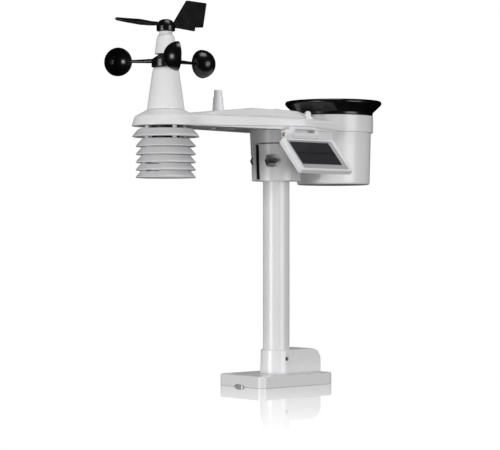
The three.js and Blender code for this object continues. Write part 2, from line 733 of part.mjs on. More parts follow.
// ---- Rain gauge ----
function makeDrum() {
  let drum = turned([
    [0, DRUM_FLOOR], [47.2, DRUM_FLOOR], [48.8, DRUM_FLOOR + 0.8], [49.3, DRUM_FLOOR + 2.6],
    [DRUM_RADIUS, 334], [DRUM_RADIUS, 350.3], [DRUM_RADIUS - 2.1, 350.3], [DRUM_RADIUS - 2.1, 334],
    [47.3, DRUM_FLOOR + 2.4], [0, DRUM_FLOOR + 2.4],
  ], WIDE);
  for (const x of [-32, 32]) {
    for (let slot = -2; slot <= 2; slot += 1) {
      drum = cut(drum, box(x - 6, x + 6, slot * 6 - 1.6, slot * 6 + 1.6, 260, 272));
    }
  }
  return drum;
}

function makeFunnel() {
  return turned(closedRing([
    [3.5, 322], [5.4, 322], [5.4, 330.2], [47.4, 352], [47.4, RING_TOP + FIT], [53.5, RING_TOP + FIT],
    [53.7, 362], [63.2, 371.1], [64.9, 372.9], [65.4, 374.5], [64.9, 376.7], [63.6, 377.8], [62, 377.8],
    [61, 376.6], [60.4, 372.4], [50.4, 361.4], [44.6, 354.4], [3.5, 333.2],
  ]), WIDE);
}

function makeFilter() {
  let filter = turned([
    [0, 338.6], [6.4, 338.6], [8.2, 337.4], [9.6, 338], [8.6, 346], [0, 348],
  ], NARROW);
  for (let slot = 0; slot < 3; slot += 1) {
    const gap = box(-12, 12, -1, 1, 340.2, 345.2).rotate([0, 0, 60 * slot]);
    filter = cut(filter, gap);
  }
  return filter;
}

function makeBucket() {
  const halfWidth = 11;
  const outer = upright([
    [-28, 4], [-5, -4], [5, -4], [28, 4], [28, 7], [3, 17], [-3, 17], [-28, 7],
  ], -halfWidth, halfWidth);
  const chamber = [[0.9, 20], [0.9, 10], [4.5, -1.2], [32, 8.2], [32, 20]];
  const right = upright(chamber, 1.6 - halfWidth, halfWidth - 1.6);
  const left = upright(chamber.map(([x, z]) => [-x, z]), 1.6 - halfWidth, halfWidth - 1.6);
  const hub = barAlongY(4, -12.5, 12.5, 0, -1.5);
  return cut(join(cut(outer, right, left), hub), barAlongY(1.85, -20, 20, 0, -1.5));
}

function makeCradle() {
  const floor = DRUM_FLOOR + 2.4 + FIT;
  let cradle = box(-22, 22, -17, 17, floor, floor + 2.4);
  for (const side of [-1, 1]) {
    const [low, high] = side < 0 ? [-17, -14.6] : [14.6, 17];
    cradle = join(cradle, upright([[-9, floor], [9, floor], [5, BUCKET_Z + 4], [-5, BUCKET_Z + 4]], low, high));
    cradle = join(cradle, box(side * 20 - 1.5, side * 20 + 1.5, -5, 5, floor, BUCKET_Z - 5.4));
  }
  return cut(cradle, barAlongY(1.85, -20, 20, 0, BUCKET_Z));
}

function makeRainGauge() {
  const gauge = new THREE.Group();
  gauge.position.x = RAIN_X;
  place(gauge, 'rain_drum', makeDrum(), 'white');
  place(gauge, 'rain_funnel', makeFunnel(), 'black');
  place(gauge, 'debris_filter', makeFilter(), 'black');
  const bucket = makeBucket().translate([0, 0, 1.5]).rotate([0, BUCKET_TILT, 0]).translate([0, 0, BUCKET_Z]);
  place(gauge, 'tipping_bucket', bucket, 'black');
  place(gauge, 'bucket_cradle', makeCradle(), 'white');
  place(gauge, 'bucket_axle', barAlongY(1.5, -17.4, 17.4, 0, BUCKET_Z), 'steel');
  place(gauge, 'reed_board', box(-10, 10, 18.2, 19.8, 284, 304), 'board');
  return gauge;
}

// ---- Solar panel ----
const HANGER = { lowX: -29, highX: 13 }; // fixed plate that carries the hinge
const EARS = [{ lowX: -40, highX: HANGER.lowX - FIT }, { lowX: HANGER.highX + FIT, highX: 16.4 }];
const PIN_RADIUS = 1.45;
const PANEL_EDGE = HINGE_RADIUS + 0.5; // from the hinge to the panel's near edge
const WINDOW = { length: 71, width: 40.2 };
const BEVEL = { length: 81, width: 51 }; // outer edge of the slope around the window
const COVER = { length: 86, width: 50 };

function makeBracket() {
  const hanger = crosswise([
    ...arc(HINGE_Y, HINGE_Z, HINGE_RADIUS, 360, 180, 10),
    [HINGE_Y - HINGE_RADIUS, 334.8], [-62, 336.6], [-57, 336.6], [-55, COVER_Z - FIT],
    [-39, COVER_Z - FIT], [-39, 330], [HINGE_Y + HINGE_RADIUS, 330],
  ], HANGER.lowX, HANGER.highX);
  const recess = box(HANGER.lowX + 3.6, HANGER.highX - 3, -70, -52.5, 328.8, 333);
  const block = raised([
    [HANGER.highX - 1, -51.2], [62, -43.1], [62, -38], [HANGER.highX - 1, -45],
  ], 321.5, COVER_Z - FIT);
  return cut(join(hanger, block), recess, barAlongX(PIN_RADIUS + FIT, -60, 60, HINGE_Y, HINGE_Z));
}

// The panel lies level here, with its hinge on the X axis, its face up and its free edge towards -Y.
function panelLoop(length, width, corner, height, shift = 0) {
  const centreY = shift - PANEL_EDGE - PANEL_HEIGHT / 2;
  const corners = roundedRectangle(length, width, corner, 3);
  return corners.map(([x, y]) => [x + PANEL_CENTRE_X, y + centreY, height]);
}

function panelPlate(length, width, corner, low, high, shift = 0) {
  return loft([
    panelLoop(length, width, corner, low, shift), panelLoop(length, width, corner, high, shift),
  ]);
}

function makePanelFrame() {
  const slab = loft([
    panelLoop(PANEL_LENGTH - 2, PANEL_HEIGHT - 2, 3, -PANEL_DEPTH),
    panelLoop(PANEL_LENGTH, PANEL_HEIGHT, 4, 1 - PANEL_DEPTH),
    panelLoop(PANEL_LENGTH, PANEL_HEIGHT, 4, -0.8),
    panelLoop(PANEL_LENGTH - 1.4, PANEL_HEIGHT - 1.4, 3.4, 0),
  ]);
  const bevel = loft([
    panelLoop(WINDOW.length, WINDOW.width, 1, -1.8, WINDOW_SHIFT),
    panelLoop(BEVEL.length, BEVEL.width, 2, 0.4),
  ]);
  const tray = panelPlate(WINDOW.length, WINDOW.width, 1, -3.6, 1, WINDOW_SHIFT);
  const rear = panelPlate(COVER.length, COVER.width, 2, -PANEL_DEPTH - 1, -5);
  let frame = cut(slab, bevel, tray, rear);
  for (const { lowX, highX } of EARS) {
    const ear = barAlongX(HINGE_RADIUS, lowX, highX, 0, 0, NARROW);
    frame = join(frame, ear, box(lowX, highX, -PANEL_EDGE - 1, -1, -5, 0));
  }
  return cut(frame, barAlongX(PIN_RADIUS + FIT, -60, 60, 0, 0));
}

function makeSolarPanel() {
  const panel = new THREE.Group();
  panel.position.set(0, HINGE_Y, HINGE_Z);
  panel.rotation.x = radians(PANEL_TILT);
  const cells = panelPlate(WINDOW.length - 2 * FIT, WINDOW.width - 2 * FIT, 1, -3.3, -1.9, WINDOW_SHIFT);
  const cover = panelPlate(COVER.length - 2 * FIT, COVER.width - 2 * FIT, 2, -PANEL_DEPTH, -5.3);
  place(panel, 'solar_frame', makePanelFrame(), 'white');
  place(panel, 'solar_cells', cells, 'cell');
  place(panel, 'solar_back_cover', cover, 'white');
  return panel;
}

function addHingeScrews(head) {
  const left = join(
    barAlongX(PIN_RADIUS, -40.6, -26, HINGE_Y, HINGE_Z), barAlongX(2.6, -41.6, -40.3, HINGE_Y, HINGE_Z),
  );
  const right = barAlongX(PIN_RADIUS, HANGER.highX - 3, EARS[1].highX + 0.4, HINGE_Y, HINGE_Z);
  place(head, 'hinge_screw_left', left, 'brass');
  place(head, 'hinge_pin_right', right, 'steel');
}

// ---- Assembly ----
const weatherStation = new THREE.Group();
const head = new THREE.Group();
addArm(head);
addClamp(head);
addShield(head);
addWindSensors(head);
place(head, 'solar_bracket', makeBracket(), 'white');
addHingeScrews(head);
head.add(makeRainGauge(), makeSolarPanel());
weatherStation.add(makeStand(), head);

export default weatherStation;
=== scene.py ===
"""The looks of the home weather station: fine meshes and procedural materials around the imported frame.

Shapes are written in millimetres and turned into metres when a mesh is made. The camera, the lamps and the
scales in materials are in metres. The frame gives the axes of the moving pieces."""

import json
import math

import bmesh
import bpy
from mathutils import Matrix, Vector


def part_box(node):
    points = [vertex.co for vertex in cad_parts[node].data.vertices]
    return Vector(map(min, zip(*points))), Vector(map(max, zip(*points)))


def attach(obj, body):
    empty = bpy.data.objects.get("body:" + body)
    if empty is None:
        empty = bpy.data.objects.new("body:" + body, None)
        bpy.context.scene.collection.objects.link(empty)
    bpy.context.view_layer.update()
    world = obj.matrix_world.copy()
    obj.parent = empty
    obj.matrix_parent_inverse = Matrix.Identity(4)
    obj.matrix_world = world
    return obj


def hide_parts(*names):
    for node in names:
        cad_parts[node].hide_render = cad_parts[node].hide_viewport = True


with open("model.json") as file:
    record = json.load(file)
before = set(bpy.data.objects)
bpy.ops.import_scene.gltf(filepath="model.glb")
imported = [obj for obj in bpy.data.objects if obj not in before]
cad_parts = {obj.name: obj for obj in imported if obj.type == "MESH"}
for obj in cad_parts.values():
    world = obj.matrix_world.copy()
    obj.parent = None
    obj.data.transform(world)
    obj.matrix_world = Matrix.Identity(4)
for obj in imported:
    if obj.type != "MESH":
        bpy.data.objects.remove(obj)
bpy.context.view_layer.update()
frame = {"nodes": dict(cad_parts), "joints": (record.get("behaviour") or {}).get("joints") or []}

MM = 0.001
UP = Vector((0, 0, 1))
JOINTS = {joint["name"]: joint for joint in frame["joints"]}


def centre_mm(node):
    low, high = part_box(node)
    return (low + high) / 2 / MM


# ---- Driving dimensions, in millimetres ----
WIND_X = centre_mm("cup_hub").x
RAIN_X = centre_mm("rain_drum").x
POLE_RADIUS = (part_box("mast_pole")[1].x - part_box("mast_pole")[0].x) / 2 / MM
POLE_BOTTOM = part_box("mast_pole")[0].z / MM
POLE_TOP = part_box("mast_pole")[1].z / MM
HINGE = Vector(JOINTS["panel_tilt"]["pos_m"]) / MM
PANEL_TILT = -JOINTS["panel_tilt"]["range_deg"][0]
FIT = 0.3  # the gap between two pieces
FAR = 90  # cutters that pass right through a piece end this far out

BASE_LENGTH = 130
BASE_WIDTH = 85.6
BASE_HEIGHT = 15.3
BASE_WALL = 3
BASE_CORNER = 9
BASE_SCREW_INSET = 11
WEB_END = 62.8
WEB_HALF = 20
SOCKET_TOP = 46.5
SOCKET_FLOOR = 8
SOCKET_SCREW_Z = 34.7

CLAMP_BOTTOM = 268
CLAMP_TOP = 317.5
CLAMP_BORE = 20.3
UNDER_CLAMP = 260  # where cutters through the clamp begin, and where those end that pass its top
OVER_CLAMP = 330
JAW_REAR = -2.9
BOSS_FRONT = 4.5
# Where the black rubber rings sit in the boss's hollow: painted shade for the hollow's dark inside.
SHADE_RING_SPAN = (5, 9)  # from front to rear
BOSS_RADIUS = 31.9
BOSS_SPREAD = 2.9
JAW_GAP = 1.8
CLAMP_SKIN = 1.4
BOLT_X = 26
BOLT_Z = 294
BOLT_RADIUS = 2.95
BOLT_HOLE = BOLT_RADIUS + 0.5
BOLT_END = -28.7
HEX_RADIUS = 7.3
HEAD_RADIUS = 6.6
NUT_SEAT = -12.9
HEAD_SEAT = 11.5

COVER_Z = 333.6
WALL = 2.2
BAND_TOP = 346.4
RING_RADIUS = 54
RING_TOP = 357.7
RING_BOTTOM = 335
# The arm's cross-sections along X: place, half width, lower edge of the wall, crest.
ARM_STATIONS = [
    (-188, 33, 334, 348),
    (-149, 35.7, 334, 352),
    (-50, 49.2, 336.6, 362),
    (0, 56, 338, 361.7),
    (24, 52.1, 337.2, 361.7),
    (46, 48.5, 336.4, 357.5),
    (74, 44, 335.4, 357.4),
    (100, 44, 335.4, 357.4),
]

CUP_COUNT = 3
CUP_ORBIT = 63
CUP_RADIUS = 18.2
CUP_WALL = 1.4
CUP_Z = 415
CUP_TURN = 4.5  # degrees from +X to the first cup
HUB_RADIUS = 17.8

PLATE_TIPS = [319.3, 307.2, 297, 287, 277.5, 268.3]
PLATE_DROP = 10.6
PLATE_RADIUS = 37.6
TOP_PLATE_SPREAD = 4.4
ROD_COUNT = 4
ROD_ORBIT = 25.3
ROD_START = 76  # degrees from +X to the first rod
ROD_HOLE = 1.6
CAGE_RADIUS = 18  # of the guard around the probe
DRUM_FLOOR = 264.9
DRUM_RADIUS = 51

DOOR = (-93, -38.6, 26.5)  # the battery door's two ends along X, and half its width
BUTTON_X = -110
LED_PLACE = (-110, -11)
ANTENNA_X = -101.5
SENSOR_PLACE = (29, -30)

HINGE_RADIUS = 5.8
HANGER = (-29, 13)  # the ends along X of the fixed part of the hinge
EARS = [(-40, HANGER[0] - FIT), (HANGER[1] + FIT, 16.4)]
PANEL_EDGE = HINGE_RADIUS + 0.5
PANEL_LENGTH = 94.3
PANEL_HEIGHT = 56
PANEL_DEPTH = 7.4
PANEL_CENTRE_X = -2.1
PIN_RADIUS = 1.45
WINDOW = (71, 40.2)  # length and width of the opening for the cells
WINDOW_SHIFT = 3.9  # from the panel's middle towards the hinge
BEVEL = (81, 51)  # length and width of the slope's outer edge around the opening
COVER = (86, 50)  # length and width of the opening behind

FINE = 128  # facets around a large round piece
ROUND = 64
SMALL = 32


def add_object(name, data):
    added = bpy.data.objects.new(name, data)
    bpy.context.scene.collection.objects.link(added)
    return added


# ---- Camera: level, and turned to the view of the arm from its wind end ----
def make_camera():
    yaw = math.radians(42)
    forward = Vector((math.sin(yaw), math.cos(yaw), 0))
    right = Vector((math.cos(yaw), -math.sin(yaw), 0))
    distance = 2.416
    beside = 0.0346  # the pole stands this far right of the lens axis
    height = 0.197
    data = bpy.data.cameras.new("camera")
    data.sensor_width = 36
    data.lens = 131.8
    data.shift_y = 0.02
    data.clip_end = 20
    camera = add_object("camera", data)
    camera.location = -distance * forward - beside * right + height * UP
    camera.rotation_euler = forward.to_track_quat("-Z", "Y").to_euler()
    bpy.context.scene.camera = camera


# ---- Mesh building ----
def new_piece(name, points, faces):
    """A mesh object from points in millimetres."""
    mesh = bpy.data.meshes.new(name)
    mesh.from_pydata([Vector(point) * MM for point in points], [], faces)
    mesh.validate()
    work = bmesh.new()
    work.from_mesh(mesh)
    bmesh.ops.remove_doubles(work, verts=work.verts, dist=1e-7)
    bmesh.ops.recalc_face_normals(work, faces=work.faces)
    work.to_mesh(mesh)
    work.free()
    return add_object(name, mesh)


def softened(profile, radius, steps=3, closed=False):
    """The same line with each corner turned into a short curve."""
    nearly_straight = math.radians(172)
    points = [Vector(point) for point in profile]
    count = len(points)
    result = []
    for i, point in enumerate(points):
        before = points[i - 1] - point
        after = points[(i + 1) % count] - point
        at_end = not closed and i in (0, count - 1)
        if at_end or before.angle(after, math.pi) > nearly_straight:
            result.append(point)
            continue
        reach = min(radius, before.length * 0.45, after.length * 0.45)
        start = point + before.normalized() * reach
        end = point + after.normalized() * reach
        for step in range(steps + 1):
            t = step / steps
            result.append(start * (1 - t) ** 2 + point * 2 * t * (1 - t) + end * t ** 2)
    return result


def turned(name, profile, segments, x=0.0, y=0.0, closed=False):
    """A solid of revolution about Z from (radius, height) points.

    An open profile begins and ends on the axis."""
    points = []
    faces = []
    count = len(profile)
    for step in range(segments):
        angle = 2 * math.pi * step / segments
        for radius, height in profile:
            points.append((x + radius * math.cos(angle), y + radius * math.sin(angle), height))
    spans = count if closed else count - 1
    for step in range(segments):
        here = step * count
        there = (step + 1) % segments * count
        for i in range(spans):
            j = (i + 1) % count
            if profile[i][0] < 1e-6 and profile[j][0] < 1e-6:
                continue
            faces.append((here + i, there + i, there + j, here + j))
    return new_piece(name, points, faces)


def disc(name, radius, low, high, segments, x=0.0, y=0.0):
    return turned(name, [(0, low), (radius, low), (radius, high), (0, high)], segments, x, y)


def loft(name, loops):
    """A closed skin over loops of equal length, capped at both ends."""
    count = len(loops[0])
    points = [point for loop in loops for point in loop]
    faces = []
    for ring in range(len(loops) - 1):
        for i in range(count):
            a = ring * count + i
            b = ring * count + (i + 1) % count
            faces.append((a, b, b + count, a + count))
    last = (len(loops) - 1) * count
    faces.append(tuple(reversed(range(count))))
    faces.append(tuple(last + i for i in range(count)))
    return new_piece(name, points, faces)


def box(name, low_x, high_x, low_y, high_y, low_z, high_z):
    loop = [(low_x, low_y), (high_x, low_y), (high_x, high_y), (low_x, high_y)]
    return loft(name, [[(x, y, z) for x, y in loop] for z in (low_z, high_z)])


def raised(name, outline, low, high):
    """An outline in X and Y, with thickness along Z."""
    return loft(name, [[(p[0], p[1], z) for p in outline] for z in (low, high)])


def upright(name, outline, low_y, high_y):
    """An outline in X and Z, with thickness along Y."""
    return loft(name, [[(p[0], y, p[1]) for p in outline] for y in (low_y, high_y)])


def crosswise(name, outline, low_x, high_x):
    """An outline in Y and Z, with thickness along X."""
    return loft(name, [[(x, p[0], p[1]) for p in outline] for x in (low_x, high_x)])


def arc(x, y, radius, start, end, steps):
    points = []
    for step in range(steps + 1):
        angle = math.radians(start + (end - start) * step / steps)
        points.append((x + radius * math.cos(angle), y + radius * math.sin(angle)))
    return points


def circle(x, y, radius, segments):
    return arc(x, y, radius, 0, 360, segments)[:-1]


def bar_y(name, radius, low_y, high_y, x, z, segments=SMALL):
    return upright(name, circle(x, z, radius, segments), low_y, high_y)


def bar_x(name, radius, low_x, high_x, y, z, segments=SMALL):
    return crosswise(name, circle(y, z, radius, segments), low_x, high_x)


def rounded_rectangle(length, width, corner, steps=8):
    x = length / 2 - corner
    y = width / 2 - corner
    return (
        arc(x, y, corner, 0, 90, steps) + arc(-x, y, corner, 90, 180, steps)
        + arc(-x, -y, corner, 180, 270, steps) + arc(x, -y, corner, 270, 360, steps)
    )


def turn(piece, degrees, axis):
    piece.data.transform(Matrix.Rotation(math.radians(degrees), 4, axis))


def move(piece, x, y, z):
    piece.data.transform(Matrix.Translation(Vector((x, y, z)) * MM))


def settle(piece):
    """Applies the piece's modifiers to its mesh."""
    graph = bpy.context.evaluated_depsgraph_get()
    mesh = bpy.data.meshes.new_from_object(piece.evaluated_get(graph))
    piece.modifiers.clear()
    piece.data = mesh


def combine(piece, others, operation):
    for other in others:
        step = piece.modifiers.new(operation.lower(), "BOOLEAN")
        step.operation = operation
        step.solver = "EXACT"
        step.object = other
    settle(piece)
    for other in others:
        bpy.data.objects.remove(other)
    return piece


def fuse(piece, *others):
    return combine(piece, others, "UNION")


def carve(piece, *others):
    return combine(piece, others, "DIFFERENCE")


def smooth(piece, angle=32):
    """Shades round faces smooth and keeps sharp edges and flat faces crisp."""
    piece.data.shade_smooth()
    piece.data.set_sharp_from_angle(angle=math.radians(angle))
    weight = piece.modifiers.new("weighted_normals", "WEIGHTED_NORMAL")
    weight.keep_sharp = True
    return piece


def ease(piece, width, steps=2, angle=35, apply=True):
    """Rounds the piece's edges over a width in millimetres."""
    bevel = piece.modifiers.new("rounded_edges", "BEVEL")
    bevel.width = width * MM
    bevel.segments = steps
    bevel.limit_method = "ANGLE"
    bevel.angle_limit = math.radians(angle)
    bevel.miter_outer = "MITER_ARC"
    bevel.use_clamp_overlap = True
    if apply:
        settle(piece)
    return piece


def finish(piece, body, material, slot, *nodes):
    """Gives a finished piece its material, its body, and the CAD nodes that it stands for."""
    piece.data.materials.clear()
    piece.data.materials.append(material)
    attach(piece, body)
    if nodes:
        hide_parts(*nodes)


def finish_white(piece, body, *nodes):
    finish(piece, body, WHITE, "white_shell", *nodes)


# ---- Materials ----
def new_nodes(tree, *kinds):
    return [tree.nodes.new("ShaderNode" + kind) for kind in kinds]


def set_range(node, *numbers):
    for name, number in zip(("From Min", "From Max", "To Min", "To Max"), numbers):
        node.inputs[name].default_value = number


class Look:
    """A Principled material with nodes for colour, roughness and bump."""

    def __init__(self, name, colour, roughness, metallic=0.0):
        self.material = bpy.data.materials.new(name)
        self.material.use_nodes = True
        self.tree = self.material.node_tree
        self.shader = self.tree.nodes["Principled BSDF"]
        self.give("Base Color", colour)
        self.give("Roughness", roughness)
        self.give("Metallic", metallic)
        self.place = self.node("TexCoord").outputs["Object"]
        self.bump_end = None

    def node(self, kind, **settings):
        node = new_nodes(self.tree, kind)[0]
        for key, value in settings.items():
            setattr(node, key, value)
        return node

    def link(self, source, target):
        self.tree.links.new(source, target)

    def feed(self, value, socket):
        """Links a node's output to a socket, or gives the socket a colour or a number."""
        if isinstance(value, bpy.types.NodeSocket):
            self.link(value, socket)
        else:
            socket.default_value = (*value, 1) if isinstance(value, tuple) else value

    def pattern(self, kind, scale, place=None, **settings):
        pattern = self.node(kind, **settings)
        pattern.inputs["Scale"].default_value = scale
        self.link(place or self.place, pattern.inputs["Vector"])
        return pattern

    def noise(self, scale, detail=3, place=None):
        noise = self.pattern("TexNoise", scale, place)
        noise.inputs["Detail"].default_value = detail
        return noise.outputs["Fac"]

    def ranged(self, value, *numbers):
        """The value, taken from one range to another."""
        ranged = self.node("MapRange")
        set_range(ranged, *numbers)
        self.link(value, ranged.inputs["Value"])
        return ranged.outputs["Result"]

    def mixed(self, share, first, second):
        mix = self.node("Mix", data_type="RGBA")
        self.link(share, mix.inputs["Factor"])
        self.feed(first, mix.inputs[6])
        self.feed(second, mix.inputs[7])
        return mix.outputs[2]

    def maths(self, operation, *values):
        maths = self.node("Math", operation=operation)
        for value, socket in zip(values, maths.inputs):
            self.feed(value, socket)
        return maths.outputs[0]

    def give(self, name, value):
        self.feed(value, self.shader.inputs[name])

    def set_colour(self, value):
        self.give("Base Color", value)

    def set_roughness(self, value):
        self.give("Roughness", value)

    def bump(self, height, distance, strength):
        bump = self.node("Bump")
        bump.inputs["Distance"].default_value = distance
        bump.inputs["Strength"].default_value = strength
        self.link(height, bump.inputs["Height"])
        if self.bump_end:
            self.link(self.bump_end, bump.inputs["Normal"])
        self.bump_end = bump.outputs["Normal"]
        self.give("Normal", self.bump_end)

    def worn_edges(self, colour, edge_colour, corner_colour):
        """Lighter on edges and darker in corners."""
        sharpness = self.node("NewGeometry").outputs["Pointiness"]
        edge = self.ranged(sharpness, 0.52, 0.60, 0, 0.55)
        broken = self.maths("MULTIPLY", edge, self.noise(240, 4))
        # Concave corners, found by their pointiness, take the darker corner colour.
        corner = self.ranged(sharpness, 0.49, 0.42, 0, 0.5)
        lit = self.mixed(broken, colour, edge_colour)
        return self.mixed(corner, lit, corner_colour)


def shaded(colour, factor):
    return tuple(min(1.0, channel * factor) for channel in colour)


def white_plastic(name="white_plastic", colour=(0.85, 0.85, 0.86), roughness=0.24):
    look = Look(name, colour, roughness)
    clouds = look.ranged(look.noise(14), 0.35, 0.65, 0, 1)
    tint = look.mixed(clouds, shaded(colour, 0.985), shaded(colour, 1.01))
    look.set_colour(look.worn_edges(tint, shaded(colour, 1.06), shaded(colour, 0.88)))
    look.set_roughness(look.ranged(look.noise(120, 5), 0.3, 0.7, roughness - 0.02, roughness + 0.04))
    look.bump(look.noise(2600, 2), 0.00003, 0.12)
    look.bump(look.noise(25, 1), 0.0002, 0.03)
    look.give("Specular IOR Level", 0.45)
    return look.material


def gloss_black(name="gloss_black", roughness=0.24, colour=(0.004, 0.004, 0.0045)):
    look = Look(name, colour, roughness)
    tint = look.mixed(look.noise(40, 4), shaded(colour, 0.8), shaded(colour, 1.3))
    look.set_colour(look.worn_edges(tint, shaded(colour, 3.0), shaded(colour, 0.7)))
    look.set_roughness(look.ranged(look.noise(75, 6), 0.35, 0.7, roughness - 0.03, roughness + 0.04))
    look.bump(look.noise(900, 3), 0.00002, 0.05)
    look.give("Specular IOR Level", 0.4)
    look.give("Coat Weight", 0.1)
    look.give("Coat Roughness", 0.12)
    return look.material


def metal(name, colour, roughness, grain=(1, 1, 1)):
    look = Look(name, colour, roughness, 1.0)
    streaks = look.noise(900, 3, look.pattern("Mapping", grain).outputs["Vector"])
    tint = look.mixed(look.noise(160, 5), shaded(colour, 0.7), shaded(colour, 1.15))
    look.set_colour(look.worn_edges(tint, shaded(colour, 1.5), shaded(colour, 0.45)))
    look.set_roughness(look.ranged(streaks, 0.3, 0.7, roughness - 0.08, roughness + 0.12))
    look.bump(streaks, 0.00004, 0.25)
    return look.material


def soft_rubber():
    colour = (0.022, 0.022, 0.024)
    look = Look("soft_rubber", colour, 0.8)
    look.set_colour(look.mixed(look.noise(70, 5), shaded(colour, 0.7), shaded(colour, 1.6)))
    look.set_roughness(look.ranged(look.noise(300, 4), 0.3, 0.7, 0.7, 0.92))
    look.bump(look.noise(1800, 3), 0.0001, 0.4)
    return look.material


def circuit_board():
    colour = (0.02, 0.13, 0.06)
    look = Look("circuit_board", colour, 0.45)
    tracks = look.pattern("TexVoronoi", 260, feature="DISTANCE_TO_EDGE")
    line = look.ranged(tracks.outputs["Distance"], 0.02, 0.09, 1, 0)
    look.set_colour(look.mixed(line, colour, (0.05, 0.28, 0.10)))
    look.set_roughness(look.ranged(line, 0, 1, 0.5, 0.3))
    look.bump(line, 0.0001, 0.4)
    return look.material


def battery_wrap():
    look = Look("battery_wrap", (0.5, 0.46, 0.4), 0.3)
    band = look.pattern("TexWave", 6, bands_direction="X")
    step = look.ranged(band.outputs["Fac"], 0.45, 0.55, 0, 1)
    look.set_colour(look.mixed(step, (0.42, 0.3, 0.12), (0.04, 0.04, 0.045)))
    look.set_roughness(look.ranged(look.noise(200, 4), 0.3, 0.7, 0.22, 0.38))
    look.bump(look.noise(500, 3), 0.00005, 0.2)
    return look.material


def clear_lens(name, colour, roughness=0.12):
    look = Look(name, colour, roughness)
    look.set_colour(look.mixed(look.noise(300, 3), shaded(colour, 0.85), shaded(colour, 1.1)))
    look.set_roughness(look.ranged(look.noise(500, 3), 0.3, 0.7, roughness - 0.04, roughness + 0.06))
    look.bump(look.noise(1500, 2), 0.00002, 0.1)
    look.give("Coat Weight", 0.6)
    look.give("Coat Roughness", 0.05)
    return look.material


def solar_cell():
    """Dark cells with faint upright contact lines, parted by a darker line across, under clear resin."""
    finger_spacing = 0.0024
    finger_share = 0.09
    look = Look("solar_cell", (0.012, 0.013, 0.018), 0.3)
    split = look.node("SeparateXYZ")
    look.link(look.place, split.inputs[0])
    along = look.maths("DIVIDE", split.outputs["X"], finger_spacing)
    finger = look.ranged(look.maths("PINGPONG", along, 0.5), finger_share, finger_share * 1.6, 1, 0)
    crystal = look.mixed(look.noise(55, 3), (0.013, 0.013, 0.015), (0.022, 0.022, 0.025))
    surface = look.mixed(finger, crystal, (0.08, 0.08, 0.084))
    middle = look.maths("ABSOLUTE", look.maths("SUBTRACT", split.outputs["Y"], CELL_PARTING))
    parting = look.ranged(middle, 0.0004, 0.0009, 1, 0)
    look.set_colour(look.mixed(parting, surface, (0.003, 0.003, 0.003)))
    look.set_roughness(look.ranged(look.noise(90, 5), 0.3, 0.7, 0.26, 0.4))
    look.bump(look.noise(700, 3), 0.00003, 0.15)
    look.give("Specular IOR Level", 0.35)
    return look.material


CELL_PARTING = (WINDOW_SHIFT - PANEL_EDGE - PANEL_HEIGHT / 2) * MM  # along the panel, from its hinge
WHITE = white_plastic()
# Painted shade: the shield's plates are the same white plastic as the rest, and this darker copy paints the
# shade that the plates above and the roof cast on them.
PAINTED_SHADE_WHITE = white_plastic("plate_white_painted_shade", (0.72, 0.72, 0.73))
# The grey of the thin skin on the slope around the cells, darker than the frame's white.
GREY = white_plastic("grey_cell_surround", (0.46, 0.46, 0.47), 0.35)
BLACK = gloss_black()
MATTE_BLACK = gloss_black("satin_black", 0.45, (0.012, 0.012, 0.013))
STEEL = metal("plated_steel", (0.46, 0.46, 0.48), 0.34, (1, 6, 1))
BRASS = metal("dull_brass", (0.46, 0.38, 0.3), 0.36)
RUBBER = soft_rubber()
BOARD = circuit_board()
BATTERY = battery_wrap()
DOME = clear_lens("milky_dome", (0.82, 0.82, 0.80), 0.2)
LED_RED = clear_lens("red_lens", (0.45, 0.02, 0.015))
LEVEL_GREEN = clear_lens("level_liquid", (0.40, 0.70, 0.16))
CELL = solar_cell()


# ---- Stand ----
def base_body():
    """The foot plate with a rounded upper edge, the pole's socket, and the web beside it."""
    edge = 2.2
    steps = 6
    foot = rounded_rectangle(BASE_LENGTH - 1, BASE_WIDTH - 1, BASE_CORNER - 0.5)
    side = rounded_rectangle(BASE_LENGTH, BASE_WIDTH, BASE_CORNER)
    loops = [[(x, y, 0) for x, y in foot], [(x, y, 0.5) for x, y in side]]
    for step in range(steps + 1):
        angle = math.radians(90 * step / steps)
        inset = edge * (1 - math.cos(angle))
        height = BASE_HEIGHT - edge + edge * math.sin(angle)
        shape = rounded_rectangle(BASE_LENGTH - 2 * inset, BASE_WIDTH - 2 * inset, BASE_CORNER - inset)
        loops.append([(x, y, height) for x, y in shape])
    base = loft("mounting_base_moulding", loops)

    root = 12  # the socket and the web begin inside the foot plate
    socket = turned("socket", softened([
        (0, root), (21.3, root), (20.3, SOCKET_TOP), (0, SOCKET_TOP),
    ], 1.2), ROUND)
    web_radius = 16
    web_side = [
        (0, root), (WEB_END, root),
        *arc(WEB_END - web_radius, SOCKET_TOP - web_radius, web_radius, 0, 90, 16),
        (0, SOCKET_TOP),
    ]
    web = ease(upright("web", web_side, -WEB_HALF, WEB_HALF), 1.0, 3)
    return fuse(base, web, socket)


def base_screws():
    """Where the foot plate's four screw holes are."""
    screw_x = BASE_LENGTH / 2 - BASE_SCREW_INSET
    screw_y = BASE_WIDTH / 2 - BASE_SCREW_INSET
    return [(x, y) for x in (-screw_x, screw_x) for y in (-screw_y, screw_y)]


def base_hollow():
    """The room under the foot plate and in the web, around the ribs, the core and the screw posts."""
    wall = BASE_WALL
    room = rounded_rectangle(BASE_LENGTH - 2 * wall, BASE_WIDTH - 2 * wall, BASE_CORNER - wall)
    hollow = raised("hollow", room, -1, BASE_HEIGHT - wall)
    web_room = WEB_HALF - wall
    fuse(hollow, box("web_hollow", 25, WEB_END - wall, -web_room, web_room, 1, 30))
    below = -2
    above = 40
    half_rib = 1.5
    solids = [
        box("rib_x", -FAR, FAR, -half_rib, half_rib, below, above),
        box("rib_y", -half_rib, half_rib, -FAR, FAR, below, above),
        disc("core", 22, below, above, ROUND),
    ]
    solids += [disc("post", 5.5, below, above, SMALL, x, y) for x, y in base_screws()]
    return carve(hollow, *solids)


